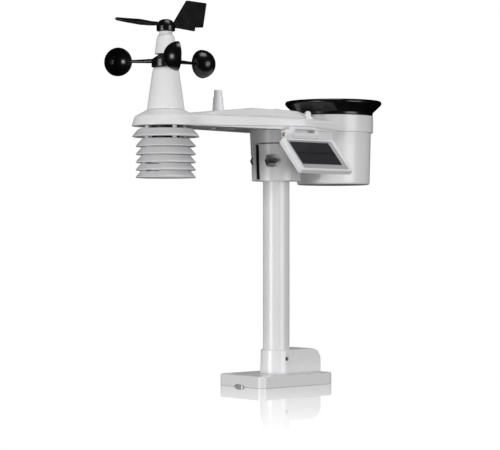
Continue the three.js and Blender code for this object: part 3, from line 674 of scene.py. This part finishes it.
def make_base():
    base = base_body()
    cuts = [base_hollow(), disc("bore", POLE_RADIUS + FIT, SOCKET_FLOOR, 60, ROUND)]
    for x, y in base_screws():
        cuts.append(disc("hole", 2.4, -1, 20, SMALL, x, y))
        cuts.append(disc("counterbore", 4.4, BASE_HEIGHT - 3, 20, SMALL, x, y))
    notch = [(y * 10.5, z * 3.7) for y, z in circle(0, 0, 1, 40)]
    cuts.append(crosswise("notch", notch, -BASE_LENGTH / 2 - 4, -BASE_LENGTH / 2 + 4))
    cuts.append(bar_y("screw_hole", 2.9, -30, -10, 0, SOCKET_SCREW_Z))
    carve(base, *cuts)
    finish_white(smooth(ease(base, 0.35, 2, 50)), "stand", "mounting_base")


def make_pole():
    wall = 1.6
    profile = softened([
        (POLE_RADIUS - wall, POLE_BOTTOM), (POLE_RADIUS, POLE_BOTTOM),
        (POLE_RADIUS, POLE_TOP), (POLE_RADIUS - wall, POLE_TOP),
    ], 0.4, 2, True)
    pole = turned("mast_tube", profile, FINE, closed=True)
    finish_white(smooth(pole), "stand", "mast_pole")


def make_socket_screw():
    screw = bar_y("socket_grub_screw", 2.55, -20, -POLE_RADIUS - FIT, 0, SOCKET_SCREW_Z)
    carve(screw, bar_y("hexagon", 1.3, -22, -18.6, 0, SOCKET_SCREW_Z, 6))
    finish(smooth(ease(screw, 0.15)), "stand", STEEL, "steel", "socket_screw")


# ---- Clamp ----
def boss_radius(height):
    """The clamp's radius, which grows evenly from its lower end to the arm."""
    return BOSS_RADIUS + BOSS_SPREAD * (height - CLAMP_BOTTOM) / (COVER_Z - CLAMP_BOTTOM)


def boss_hollow_ring(name, inset):
    """The boss's ring-shaped hollow, which holds the two black rubber rings, made smaller all round by the
    inset.
    """
    low = CLAMP_BOTTOM + 2 + inset
    high = CLAMP_TOP - 2 - inset
    inner = CLAMP_BORE + 2.5 + inset
    skin = CLAMP_SKIN + inset
    return turned(name, [
        (inner, low), (boss_radius(low) - skin, low), (boss_radius(high) - skin, high), (inner, high),
    ], FINE, closed=True)


# Black rubber rings at the mouth of the boss's hollow, seen through the gap between the clamp's halves:
# painted shade for the dark inside of the hollow. The CAD names them gaskets.
def make_shade_ring(side, x):
    gasket = boss_hollow_ring(f"clamp_shade_ring_{side}", FIT)
    front, rear = SHADE_RING_SPAN
    beside = (0, FAR) if x < 0 else (-FAR, 0)
    carve(
        gasket,
        box("other_side", *beside, -FAR, FAR, UNDER_CLAMP, OVER_CLAMP),
        box("front", -FAR, FAR, -FAR, front, UNDER_CLAMP, OVER_CLAMP),
        box("rear", -FAR, FAR, rear, FAR, UNDER_CLAMP, OVER_CLAMP),
        bar_y("bolt_hole", BOLT_HOLE, 0, FAR, x, BOLT_Z),
    )
    finish(smooth(ease(gasket, 0.4)), "head", RUBBER, "pad_rubber", f"clamp_gasket_{side}")


def make_jaw():
    top = CLAMP_TOP - JAW_GAP
    jaw = turned("clamp_front_half", [
        (0, CLAMP_BOTTOM), (boss_radius(CLAMP_BOTTOM), CLAMP_BOTTOM), (boss_radius(top), top), (0, top),
    ], FINE)
    cuts = [
        disc("bore", CLAMP_BORE, UNDER_CLAMP, OVER_CLAMP, FINE),
        box("rear_half", -FAR, FAR, JAW_REAR, FAR, UNDER_CLAMP, OVER_CLAMP),
    ]
    for x in (-BOLT_X, BOLT_X):
        cuts.append(bar_y("nut_pocket", HEX_RADIUS + 1.2, -FAR, NUT_SEAT, x, BOLT_Z, ROUND))
        cuts.append(bar_y("bolt_hole", BOLT_HOLE, -FAR, 0, x, BOLT_Z))
    carve(jaw, *cuts)
    finish_white(smooth(ease(jaw, 0.5, 3)), "jaw", "clamp_jaw")


def make_bolt(side, x):
    """A hex bolt with a ringed thread where its end stands out of the nut."""
    crest = BOLT_RADIUS
    core = crest - 0.4
    pitch = 1.0
    profile = [(0, BOLT_END), (core, BOLT_END)]
    y = BOLT_END + 0.4
    while y < -6:
        profile += [(core, y), (crest, y + pitch * 0.4), (crest, y + pitch * 0.55)]
        y += pitch
    profile += [(crest, y), (crest, HEAD_SEAT + 1), (0, HEAD_SEAT + 1)]
    bolt = turned(f"bolt_{side}", profile, SMALL)
    turn(bolt, -90, "X")
    move(bolt, x, 0, BOLT_Z)
    head = ease(bar_y("head", HEAD_RADIUS, HEAD_SEAT + FIT, HEAD_SEAT + 4.5, x, BOLT_Z, 6), 0.7, 3)
    fuse(bolt, head)
    finish(smooth(bolt), "head", BRASS, "brass", f"clamp_bolt_{side}")


def make_nut(side, x):
    nut = ease(bar_y(f"hex_nut_{side}", HEX_RADIUS, NUT_SEAT - 5.3, NUT_SEAT - FIT, x, BOLT_Z, 6), 0.6, 3)
    carve(nut, bar_y("thread", BOLT_RADIUS + FIT, -20, -10, x, BOLT_Z))
    finish(smooth(nut), "jaw", STEEL, "steel", f"clamp_nut_{side}")


# ---- Arm ----
def arm_body(name, inset):
    """The arm's body: upright side bands, a low shelf and a raised spine."""
    loops = []
    for x, half, low, crest in ARM_STATIONS:
        bottom = COVER_Z - 5 if inset > 0 else low
        width = half - inset
        side = [
            (width, bottom),
            (width, BAND_TOP - inset),
            (width - 2.4, BAND_TOP + 1.4 - inset),
            (width * 0.58, max(BAND_TOP + 2, crest - 11) - inset),
            (width * 0.3, crest - 1.2 - inset),
            (width * 0.16, crest - inset),
        ]
        loops.append([(x, -y, z) for y, z in side] + [(x, y, z) for y, z in reversed(side)])
    return loft(name, loops)


def arm_plan(inset):
    """The arm's outline from above."""
    near = [(x, inset - half) for x, half, *_ in ARM_STATIONS]
    return near + [(x, -y) for x, y in reversed(near)]


def make_top_shell():
    under = 320  # cutters begin under the arm or inside it, and end over it
    within = 340
    over = 370
    shell = arm_body("arm_cover", 0)
    ease(shell, 1.6, 3, 8)
    roof = turned("roof", softened([
        (0, COVER_Z - 0.6), (42.5, COVER_Z - 0.6), (42.5, 334.6), (39, 345), (24, 353.3), (0, 353.3),
    ], 1.6), FINE, WIND_X)
    ring = turned("ring", softened([
        (0, RING_BOTTOM), (RING_RADIUS, RING_BOTTOM), (RING_RADIUS, RING_TOP), (0, RING_TOP),
    ], 1.0), FINE, RAIN_X)
    seat = turned("sensor_seat", softened([
        (0, 346), (7, 346), (7, 352), (0, 352),
    ], 0.8), SMALL, *SENSOR_PLACE)
    fuse(shell, roof, ring, seat)
    inside = carve(arm_body("inside", WALL), disc("ring_core", RING_RADIUS, under, over, FINE, RAIN_X))
    roof_hollow = turned("roof_hollow", [
        (0, under), (40.2, under), (40.2, 334.6), (37, 343.6), (22, 350.9), (0, 350.9),
    ], FINE, WIND_X)
    bore = DRUM_RADIUS + FIT
    ring_bore = turned("ring_bore", [
        (0, under), (bore, under), (bore, 350.6), (48, 350.6), (48, over), (0, over),
    ], FINE, RAIN_X)
    carve(
        shell, inside, roof_hollow, ring_bore,
        disc("tower_hole", 18, within, 360, ROUND, WIND_X),
        disc("antenna_hole", 7.7, within, over, SMALL, ANTENNA_X),
        disc("sensor_hole", 4.55, within, over, SMALL, *SENSOR_PLACE),
        disc("level_hole", 6.3, 350, over, SMALL),
    )
    finish_white(smooth(ease(shell, 0.3, 2, 50)), "head", "arm_top_shell")


def rod_place(number):
    angle = math.radians(ROD_START + 360 * number / ROD_COUNT)
    return WIND_X + ROD_ORBIT * math.cos(angle), ROD_ORBIT * math.sin(angle)


def arm_boss():
    """The rear half of the clamp, with a hollow for the black rubber rings, and room for the jaw, the pole
    and the two bolts.
    """
    boss = turned("boss", softened([
        (0, CLAMP_BOTTOM), (boss_radius(CLAMP_BOTTOM), CLAMP_BOTTOM), (boss_radius(COVER_Z), COVER_Z),
        (boss_radius(COVER_Z), COVER_Z + 1), (0, COVER_Z + 1),
    ], 0.8), FINE)
    room = boss_hollow_ring("room", 0)
    carve(
        room,
        box("bolt_wall", -FAR, FAR, HEAD_SEAT - 2, FAR, BOLT_Z - 10, BOLT_Z + 10),
        box("front", -FAR, FAR, -FAR, 4, UNDER_CLAMP, CLAMP_TOP),
        box("rear", -FAR, FAR, 18, FAR, UNDER_CLAMP, CLAMP_TOP),
    )
    cuts = [
        room,
        box("front_half", -FAR, FAR, -FAR, BOSS_FRONT, UNDER_CLAMP, CLAMP_TOP),
        disc("jaw_bore", CLAMP_BORE, UNDER_CLAMP, CLAMP_TOP, FINE),
        disc("pole_bore", POLE_RADIUS + FIT, UNDER_CLAMP, POLE_TOP + 1, FINE),
    ]
    for x in (-BOLT_X, BOLT_X):
        cuts.append(bar_y("bolt_hole", BOLT_HOLE, 0, FAR, x, BOLT_Z))
        cuts.append(bar_y("head_pocket", HEAD_RADIUS + 1.4, HEAD_SEAT, FAR, x, BOLT_Z, ROUND))
    return carve(boss, *cuts)


def make_lower_shell():
    inset = WALL + 2 * FIT
    round_end = 37.8
    rim = 339.5
    below = 330
    above = 345
    ring_span = (320, 350)
    slab = raised("arm_underside", arm_plan(inset), COVER_Z, rim)
    fuse(slab, disc("round_end", round_end, COVER_Z, rim, FINE, WIND_X))
    pocket = raised("pocket", arm_plan(inset + 2), COVER_Z + WALL, above)
    fuse(pocket, disc("round_pocket", round_end - 2, COVER_Z + WALL, above, FINE, WIND_X))
    carve(pocket, disc("rim_core", RING_RADIUS + 2.5, *ring_span, FINE, RAIN_X))
    carve(slab, disc("ring_space", RING_RADIUS + FIT, *ring_span, FINE, RAIN_X), pocket)
    fuse(slab, arm_boss())
    low_x, high_x, half_y = DOOR
    cuts = [
        box("door_space", low_x - FIT, high_x + FIT, -half_y - FIT, half_y + FIT, below, above),
        disc("button_hole", 3.3, below, above, SMALL, BUTTON_X),
        disc("led_hole", 1.9, below, above, SMALL, *LED_PLACE),
        disc("wire_hole", 8, below, above, SMALL, WIND_X),
    ]
    for number in range(ROD_COUNT):
        cuts.append(disc("rod_hole", ROD_HOLE, below, above, SMALL, *rod_place(number)))
    carve(slab, *cuts)
    finish_white(smooth(ease(slab, 0.35, 2, 50)), "head", "arm_lower_shell")


def make_door():
    low_x, high_x, half_y = DOOR
    door = box("battery_lid", low_x, high_x, -half_y, half_y, COVER_Z, COVER_Z + WALL)
    ribs = []
    for rib in range(3):
        x = low_x + 6 + rib * 3
        ribs.append(box("rib", x, x + 1.2, -8, 8, COVER_Z - 0.6, COVER_Z + 0.5))
    fuse(door, *ribs)
    finish_white(smooth(ease(door, 0.25)), "door", "battery_door")


def make_button():
    button = turned("reset_key", softened([
        (0, COVER_Z - 1), (3, COVER_Z - 1), (3, COVER_Z + 3), (0, COVER_Z + 3),
    ], 0.6), SMALL, BUTTON_X)
    finish_white(smooth(button), "button", "reset_button")


def make_led():
    led = turned("led_lens", softened([
        (0, COVER_Z - 0.8), (1.6, COVER_Z - 0.1), (1.6, COVER_Z + 4), (0, COVER_Z + 4),
    ], 0.5), SMALL, *LED_PLACE)
    finish(smooth(led), "head", LED_RED, "led_red", "status_led")


def make_antenna():
    antenna = turned("antenna_mast", softened([
        (0, 352.5), (7.4, 352.5), (7.4, 357.2), (6.2, 373.5), (5.5, 374), (5.1, 382.8), (0, 382.8),
    ], 0.7), ROUND, ANTENNA_X)
    finish_white(smooth(antenna), "head", "antenna")


def make_light_sensor():
    dome = turned("light_sensor_dome", softened([
        (0, 348.5), (4.25, 348.5), (4.25, 357.2), (3.6, 359.2), (2.2, 360.3), (0, 360.6),
    ], 0.8), ROUND, *SENSOR_PLACE)
    finish(smooth(dome, 60), "head", DOME, "sensor_dome", "light_sensor")


def make_bubble_level():
    level = turned("level_vial", softened([
        (0, 357), (6, 357), (6, 362), (5.2, 362.6), (5.0, 362.1), (4.6, 362.1), (3.4, 362.9), (0, 363.2),
    ], 0.3), ROUND)
    finish(smooth(level, 60), "head", LEVEL_GREEN, "level_glass", "bubble_level")


# ---- Radiation shield ----
def ring_sector(inner, outer, low, high, from_degrees, to_degrees):
    """Part of a flat ring around the wind tower's axis."""
    outside = arc(WIND_X, 0, outer, from_degrees, to_degrees, 24)
    inside = arc(WIND_X, 0, inner, to_degrees, from_degrees, 24)
    return raised("sector", outside + inside, low, high)


def make_plate(number):
    """A ring with a sloping skirt that ends in a round lip, and posts up to the piece above."""
    tip = PLATE_TIPS[number]
    top = tip + PLATE_DROP
    rim = PLATE_RADIUS + (TOP_PLATE_SPREAD if number == 0 else 0)
    thick = 1.8
    lowest = number == len(PLATE_TIPS) - 1
    inner = 0 if lowest else CAGE_RADIUS + 1
    profile = [
        (inner, top - thick), (rim - 8.9, top - thick), (rim - 2.2, tip + 0.3), (rim - 1.2, tip),
        (rim - 0.2, tip + 0.3), (rim, tip + 1.1), (rim - 0.4, tip + 1.8), (rim - 7.6, top - 0.6),
        (rim - 9, top), (inner, top),
    ]
    rounded = softened(profile, 0.9, 3, not lowest)
    plate = turned(f"louvre_{number + 1}", rounded, FINE, WIND_X, closed=not lowest)
    above = COVER_Z if number == 0 else PLATE_TIPS[number - 1] + PLATE_DROP - thick
    posts = []
    holes = []
    for rod in range(ROD_COUNT):
        x, y = rod_place(rod)
        posts.append(disc("post", 2.8, top - 1, above - FIT, SMALL, x, y))
        holes.append(disc("hole", ROD_HOLE, tip - 5, above + 5, SMALL, x, y))
    if number >= len(PLATE_TIPS) - 2:  # the two lowest plates let air in towards the probe
        carve(plate, ring_sector(CAGE_RADIUS + 5, rim, top - 3, top + 1, 176, 215))
    fuse(plate, *posts)
    carve(plate, *holes)
    # The plates take the darker copy of the white plastic, as painted shade.
    finish(smooth(plate), "head", PAINTED_SHADE_WHITE, "white_shell", f"shield_plate_{number + 1}")


# ---- Wind sensors ----
def make_tower():
    tower = turned("tower_cone", softened([
        (21.4, 353.6), (23.7, 353.6), (22.9, 359), (20.2, 378), (17.6, 396.6), (16.7, 402.6), (15.4, 405.4),
        (13.4, 406.6), (4.8, 406.6), (4.8, 404), (13, 404), (15, 396.6), (18, 378),
    ], 0.8, 3, True), FINE, WIND_X, closed=True)
    finish_white(smooth(tower), "head", "wind_tower")


def make_tower_cap():
    cap = turned("tower_top", softened([
        (4.6, 423.4), (14, 423.4), (13.2, 431), (11.6, 441), (11, 444.6), (9.2, 447.2), (8.3, 448.4),
        (8.3, 449.6), (7.9, 449.9), (7.9, 450.3), (8.3, 450.6), (8.3, 451.6), (1.9, 451.6), (1.9, 448),
        (6.6, 448), (6.6, 443), (9, 440), (11, 426), (4.6, 426),
    ], 0.6, 3, True), ROUND, WIND_X, closed=True)
    finish_white(smooth(cap), "head", "tower_cap")


def make_cup(number):
    """A thin hemisphere with a rolled rim, on a tapered arm."""
    outer = CUP_RADIUS - 0.05  # this rim has more sides than the CAD's, and stays inside it
    inner = CUP_RADIUS - CUP_WALL
    profile = [
        *arc(0, 0, outer, -90, -6, 20),
        (outer, -0.9), (outer - 0.2, -0.3), (outer - 0.7, -0.1), (inner + 0.1, -0.3),
        *arc(0, 0, inner, -3, -90, 20),
    ]
    profile[0] = (0, -outer)  # both ends lie right on the axis
    profile[-1] = (0, -inner)
    cup = turned(f"cup_{number}", profile, ROUND)
    turn(cup, -90, "X")
    move(cup, CUP_ORBIT, 0, CUP_Z)
    loops = []
    start = HUB_RADIUS - 3
    end = CUP_ORBIT - CUP_RADIUS + 0.9
    steps = 6
    for step in range(steps + 1):
        t = step / steps
        x = start + (end - start) * t
        tall = 2.9 - 1.0 * t
        wide = 2.2 - 0.7 * t
        loops.append([(x, wide * py, CUP_Z + tall * pz) for py, pz in circle(0, 0, 1, 20)])
    fuse(cup, loft("cup_arm", loops))
    turn(cup, CUP_TURN + 360 * number / CUP_COUNT, "Z")
    move(cup, WIND_X, 0, 0)
    return cup


def make_rotor():
    rotor = turned("cup_rotor", softened([
        (15.6, 407), (HUB_RADIUS, 407), (HUB_RADIUS, 416.6), (9.6, 422.2), (9.2, 422.7), (5, 422.7),
        (5, 416), (8, 416), (8, 410), (10, 410), (10, 413), (15.6, 413),
    ], 0.8, 3, True), FINE, WIND_X, closed=True)
    fuse(rotor, *[make_cup(number) for number in range(CUP_COUNT)])
    finish(
        smooth(rotor, 40), "cups", BLACK, "black_gloss",
        "cup_hub", *[f"wind_cup_{number + 1}" for number in range(CUP_COUNT)],
    )


def make_vane():
    z = 461  # the pointer's middle
    vane = turned("wind_direction_vane", softened([
        (0, 452), (11.7, 452), (11.7, 459), (10, 462.5), (7.6, 465.4), (4, 466.8), (0, 467.1),
    ], 1.0), ROUND)
    # The pointer's sections, from its tip to the hub: place, upper edge, lower edge.
    outline = [
        (-80.3, 0.6, 0.2), (-78, 2.5, -1.6), (-65, 2.6, -2.8), (-41, 3.2, -4.3), (-24, 2.0, -3.9),
        (-14, 1.9, -3.0), (-6, 2.0, -2.4),
    ]
    loops = []
    for x, high, low in outline:
        thick = 0.4 if x < -80 else 1.5
        middle = (high + low) / 2
        half = (high - low) / 2
        loops.append([(x, thick * py, z + middle + half * pz) for py, pz in circle(0, 0, 1, 16)])
    pointer = loft("pointer", loops)
    tail = upright("tail", softened([
        (6, z - 4), (20, z - 4), (46.8, z - 5.8), (47.6, z - 1), (60.7, z), (66.6, 492.5),
        (33.8, 493.3), (12.8, 464), (6, 464),
    ], 1.2, 3, True), -1.3, 1.3)
    ease(tail, 0.5, 2, 50)
    fuse(vane, pointer, tail)
    carve(vane, disc("bore", 1.9, 450, 460, SMALL))
    move(vane, WIND_X, 0, 0)
    finish(smooth(vane), "vane", BLACK, "black_gloss", "wind_vane")


# ---- Rain gauge ----
def make_drum():
    drum = turned("rain_bucket_housing", softened([
        (0, DRUM_FLOOR), (47.2, DRUM_FLOOR), (48.8, DRUM_FLOOR + 0.8), (49.3, DRUM_FLOOR + 2.6),
        (DRUM_RADIUS, 334), (DRUM_RADIUS, 350.3), (DRUM_RADIUS - 2.1, 350.3), (DRUM_RADIUS - 2.1, 334),
        (47.3, DRUM_FLOOR + 2.4), (0, DRUM_FLOOR + 2.4),
    ], 1.0, 4), FINE, RAIN_X)
    outline = rounded_rectangle(12, 3.2, 1.59, 4)
    pitch = 6
    slots = []
    for x in (-32, 32):
        for slot in range(-2, 3):
            moved = [(RAIN_X + x + px, slot * pitch + py) for px, py in outline]
            slots.append(raised("slot", moved, DRUM_FLOOR - 5, DRUM_FLOOR + 7))
    carve(drum, *slots)
    finish_white(smooth(drum), "head", "rain_drum")


def make_funnel():
    funnel = turned("rain_collector", softened([
        (3.5, 322), (5.4, 322), (5.4, 330.2), (47.4, 352), (47.4, RING_TOP + FIT), (53.5, RING_TOP + FIT),
        (53.7, 362), (63.2, 371.1), (64.9, 372.9), (65.4, 374.5), (64.9, 376.7), (63.6, 377.8), (62, 377.8),
        (61, 376.6), (60.4, 372.4), (50.4, 361.4), (44.6, 354.4), (3.5, 333.2),
    ], 1.0, 3, True), FINE, RAIN_X, closed=True)
    finish(smooth(funnel), "funnel", BLACK, "black_gloss", "rain_funnel")


# ---- Solar panel ----
def make_hanger():
    """The fixed part of the hinge, with a block that meets the arm's edge."""
    y = HINGE.y
    top = COVER_Z - FIT
    hanger = crosswise("panel_hanger", [
        *arc(y, HINGE.z, HINGE_RADIUS, 360, 180, 20),
        (y - HINGE_RADIUS, 334.8), (-62, 336.6), (-57, 336.6), (-55, top),
        (-39, top), (-39, 330), (y + HINGE_RADIUS, 330),
    ], *HANGER)
    block = raised("block", [
        (HANGER[1] - 1, -51.2), (62, -43.1), (62, -38), (HANGER[1] - 1, -45),
    ], 321.5, top)
    fuse(hanger, block)
    carve(
        hanger,
        box("recess", HANGER[0] + 3.6, HANGER[1] - 3, -70, -52.5, 328.8, 333),
        bar_x("hinge_hole", PIN_RADIUS + FIT, -FAR, FAR, y, HINGE.z),
    )
    finish_white(smooth(ease(hanger, 0.5, 3)), "head", "solar_bracket")


def panel_loop(length, width, corner, height, shift=0.0):
    """A rounded rectangle in a plane of the panel, which lies level with its hinge at the origin."""
    centre_y = shift - PANEL_EDGE - PANEL_HEIGHT / 2
    shape = rounded_rectangle(length, width, corner, 6)
    return [(x + PANEL_CENTRE_X, y + centre_y, height) for x, y in shape]


def panel_plate(name, length, width, corner, low, high, shift=0.0):
    return loft(name, [
        panel_loop(length, width, corner, low, shift), panel_loop(length, width, corner, high, shift),
    ])


def panel_place():
    """Takes a piece of the panel, built level on its hinge, to its place on the arm."""
    return Matrix.Translation(HINGE * MM) @ Matrix.Rotation(math.radians(PANEL_TILT), 4, "X")


def make_panel_frame():
    frame_loops = [
        panel_loop(PANEL_LENGTH - 2, PANEL_HEIGHT - 2, 3, -PANEL_DEPTH),
        panel_loop(PANEL_LENGTH, PANEL_HEIGHT, 4, -PANEL_DEPTH + 1),
        panel_loop(PANEL_LENGTH, PANEL_HEIGHT, 4, -0.8),
        panel_loop(PANEL_LENGTH - 1.4, PANEL_HEIGHT - 1.4, 3.4, 0),
    ]
    body = loft("panel_frame", frame_loops)
    carve(
        body,
        loft("bevel", [panel_loop(*WINDOW, 1, -1.8, WINDOW_SHIFT), panel_loop(*BEVEL, 2, 0.4)]),
        panel_plate("tray", *WINDOW, 1, -3.6, 1, WINDOW_SHIFT),
        panel_plate("rear", *COVER, 2, -PANEL_DEPTH - 1, -5),
    )
    ears = []
    for low_x, high_x in EARS:
        ear = ease(bar_x("ear", HINGE_RADIUS, low_x, high_x, 0, 0, ROUND), 0.6, 3)
        ears.append(fuse(ear, box("neck", low_x, high_x, -PANEL_EDGE - 1, -1, -5, 0)))
    fuse(body, *ears)
    carve(body, bar_x("hinge_hole", PIN_RADIUS + FIT, -FAR, FAR, 0, 0))
    smooth(ease(body, 0.3, 2, 40))
    body.data.transform(panel_place())
    finish_white(body, "panel", "solar_frame")


def make_cell_surround():
    """A thin grey skin on the slope around the cells."""
    skin = loft("cell_surround", [
        panel_loop(*WINDOW, 1, -1.78, WINDOW_SHIFT), panel_loop(BEVEL[0] - 1, BEVEL[1] - 1, 2, 0.02),
    ])
    room = loft("room", [
        panel_loop(*WINDOW, 1, -1.5, WINDOW_SHIFT), panel_loop(*BEVEL, 2, 0.68),
    ])
    carve(skin, room, panel_plate("opening", *WINDOW, 1, -3, 1, WINDOW_SHIFT))
    skin.data.transform(panel_place())
    finish(smooth(skin), "panel", GREY, "pad_rubber")


def make_cells():
    length = WINDOW[0] - 2 * FIT
    width = WINDOW[1] - 2 * FIT
    cells = panel_plate("panel_cells", length, width, 1, -3.3, -1.9, WINDOW_SHIFT)
    cells.matrix_world = panel_place()  # its material's lines follow the panel's own axes
    finish(smooth(ease(cells, 0.2)), "panel", CELL, "solar_cell", "solar_cells")


def make_panel_back():
    back = panel_plate("panel_back", COVER[0] - 2 * FIT, COVER[1] - 2 * FIT, 2, -PANEL_DEPTH, -5.3)
    back.data.transform(panel_place())
    finish_white(smooth(ease(back, 0.3)), "panel", "solar_back_cover")


def make_hinge_screw():
    y = HINGE.y
    z = HINGE.z
    screw = bar_x("hinge_screw", PIN_RADIUS, -40.6, -26, y, z)
    head = turned("head", softened([(0, 0), (2.6, 0), (2.6, 0.8), (1.4, 1.3), (0, 1.3)], 0.3), SMALL)
    turn(head, -90, "Y")
    move(head, -40.3, y, z)
    fuse(screw, head)
    for half_y, half_z in ((1.6, 0.3), (0.3, 1.6)):
        carve(screw, box("slot", -43, -41.1, y - half_y, y + half_y, z - half_z, z + half_z))
    finish(smooth(screw), "head", BRASS, "brass", "hinge_screw_left")


# ---- Inner pieces that keep their CAD shape ----
def dress_cad_nodes():
    looks = [
        (RUBBER, ["clamp_pad_rear", "clamp_pad_front"]),
        (BOARD, ["main_board", "reed_board"]),
        (BATTERY, [f"battery_{number}" for number in (1, 2, 3)]),
        (STEEL, ["wind_spindle", "vane_shaft", "bucket_axle", "hinge_pin_right"]),
        (STEEL, [f"shield_rod_{number + 1}" for number in range(ROD_COUNT)]),
        (BRASS, ["rotor_bearing", "vane_bearing"]),
        (WHITE, ["bucket_cradle"]),
        (MATTE_BLACK, ["climate_probe", "tipping_bucket", "debris_filter"]),
    ]
    for material, names in looks:
        for name in names:
            node = frame["nodes"][name]
            node.data.materials.clear()
            node.data.materials.append(material)
            node.data.shade_smooth()
            node.data.set_sharp_from_angle(angle=math.radians(40))
            ease(node, 0.2, 2, 50, apply=False)


# ---- Studio ----
ROOM_ABOVE = 0.18  # how bright matte surfaces find the room above and below
ROOM_BELOW = 0.1
POLISH = 1.46  # the table's mirror image at the origin, as a multiple of plain glass
POLISH_REACH = 0.57  # and how far from there it fades out, in metres


def connect(tree, *pairs):
    for source, target in pairs:
        tree.links.new(source, target)


def floor_material():
    """White, with a mirror image that fades out with the distance. Clear from below."""
    material = bpy.data.materials.new("floor")
    material.use_nodes = True
    tree = material.node_tree
    tree.nodes.clear()
    output, top, sides, white = new_nodes(tree, "OutputMaterial", "MixShader", "MixShader", "Emission")
    mirror, clear, fresnel = new_nodes(tree, "BsdfGlossy", "BsdfTransparent", "Fresnel")
    side, away, polish, strength = new_nodes(tree, "NewGeometry", "VectorMath", "MapRange", "Math")
    mirror.inputs["Color"].default_value = (1, 1, 1, 1)
    mirror.inputs["Roughness"].default_value = 0
    fresnel.inputs["IOR"].default_value = 1.5
    away.operation = "LENGTH"
    set_range(polish, 0, POLISH_REACH, POLISH, 0)
    strength.operation = "MULTIPLY"
    strength.use_clamp = True
    connect(
        tree,
        (side.outputs["Position"], away.inputs[0]),
        (away.outputs["Value"], polish.inputs["Value"]),
        (polish.outputs[0], strength.inputs[0]),
        (fresnel.outputs[0], strength.inputs[1]),
        (strength.outputs[0], top.inputs[0]),
        (white.outputs[0], top.inputs[1]),
        (mirror.outputs[0], top.inputs[2]),
        (side.outputs["Backfacing"], sides.inputs[0]),
        (top.outputs[0], sides.inputs[1]),
        (clear.outputs[0], sides.inputs[2]),
        (sides.outputs[0], output.inputs[0]),
    )
    return material


def make_floor():
    size = 6000
    corners = [(-size, -size, 0), (size, -size, 0), (size, size, 0), (-size, size, 0)]
    floor = new_piece("floor", corners, [(0, 1, 2, 3)])
    floor.data.materials.append(floor_material())
    floor.visible_diffuse = False
    floor.visible_glossy = False
    floor.visible_shadow = False


def around(azimuth, distance, height):
    """A place at some degrees from +X around the pole."""
    angle = math.radians(azimuth)
    return Vector((distance * math.cos(angle), distance * math.sin(angle), height))


def softbox(name, place, size, power, shows=True):
    """A rectangular lamp aimed at the station. Gloss mirrors it where it shows."""
    data = bpy.data.lights.new(name, "AREA")
    data.shape = "RECTANGLE"
    data.size, data.size_y = size
    data.energy = power
    light = add_object(name, data)
    light.location = place
    aim = Vector((0, 0, 0.28)) - place
    light.rotation_euler = aim.to_track_quat("-Z", "Y").to_euler()
    light.visible_glossy = shows


def make_room():
    """Soft light from above and from the sides, and little from below.

    The lens and the polished table see a white room. Gloss sees the softboxes in a dark one."""
    world = bpy.data.worlds.new("studio")
    bpy.context.scene.world = world
    world.use_nodes = True
    tree = world.node_tree
    background = tree.nodes["Background"]
    background.inputs["Color"].default_value = (1, 1, 1, 1)
    path, direction, split, room = new_nodes(tree, "LightPath", "TexCoord", "SeparateXYZ", "MapRange")
    seen, lit, strength = new_nodes(tree, "Math", "Math", "Math")
    set_range(room, -0.15, 0.25, ROOM_BELOW, ROOM_ABOVE)
    seen.operation = "MAXIMUM"
    lit.operation = "MULTIPLY"
    strength.operation = "MAXIMUM"
    connect(
        tree,
        (direction.outputs["Generated"], split.inputs[0]),
        (split.outputs["Z"], room.inputs["Value"]),
        (path.outputs["Is Camera Ray"], seen.inputs[0]),
        (path.outputs["Is Singular Ray"], seen.inputs[1]),
        (path.outputs["Is Diffuse Ray"], lit.inputs[0]),
        (room.outputs[0], lit.inputs[1]),
        (lit.outputs[0], strength.inputs[0]),
        (seen.outputs[0], strength.inputs[1]),
        (strength.outputs[0], background.inputs["Strength"]),
    )


def make_lights():
    bpy.context.scene.view_settings.view_transform = "Standard"
    make_room()
    softbox("left_softbox", around(181, 2.5, 0.2), size=(1.1, 1.0), power=33)
    softbox("right_softbox", around(280, 2.5, 0.35), size=(1.4, 1.3), power=28)
    softbox("front_softbox", around(228, 3.0, 0.1), size=(1.2, 0.9), power=7, shows=False)
    softbox("top_softbox", Vector((-0.1, -0.15, 1.05)), size=(0.4, 0.4), power=2.3)
    softbox("back_softbox", around(55, 2.5, 1.7), size=(1.6, 1.0), power=54, shows=False)


make_camera()
make_base()
make_pole()
make_socket_screw()
make_jaw()
for side, x in (("left", -BOLT_X), ("right", BOLT_X)):
    make_bolt(side, x)
    make_nut(side, x)
    make_shade_ring(side, x)
make_top_shell()
make_lower_shell()
make_door()
make_button()
make_led()
make_antenna()
make_light_sensor()
make_bubble_level()
for number in range(len(PLATE_TIPS)):
    make_plate(number)
make_tower()
make_tower_cap()
make_rotor()
make_vane()
make_drum()
make_funnel()
make_hanger()
make_panel_frame()
make_cell_surround()
make_cells()
make_panel_back()
make_hinge_screw()
dress_cad_nodes()
make_floor()
make_lights()
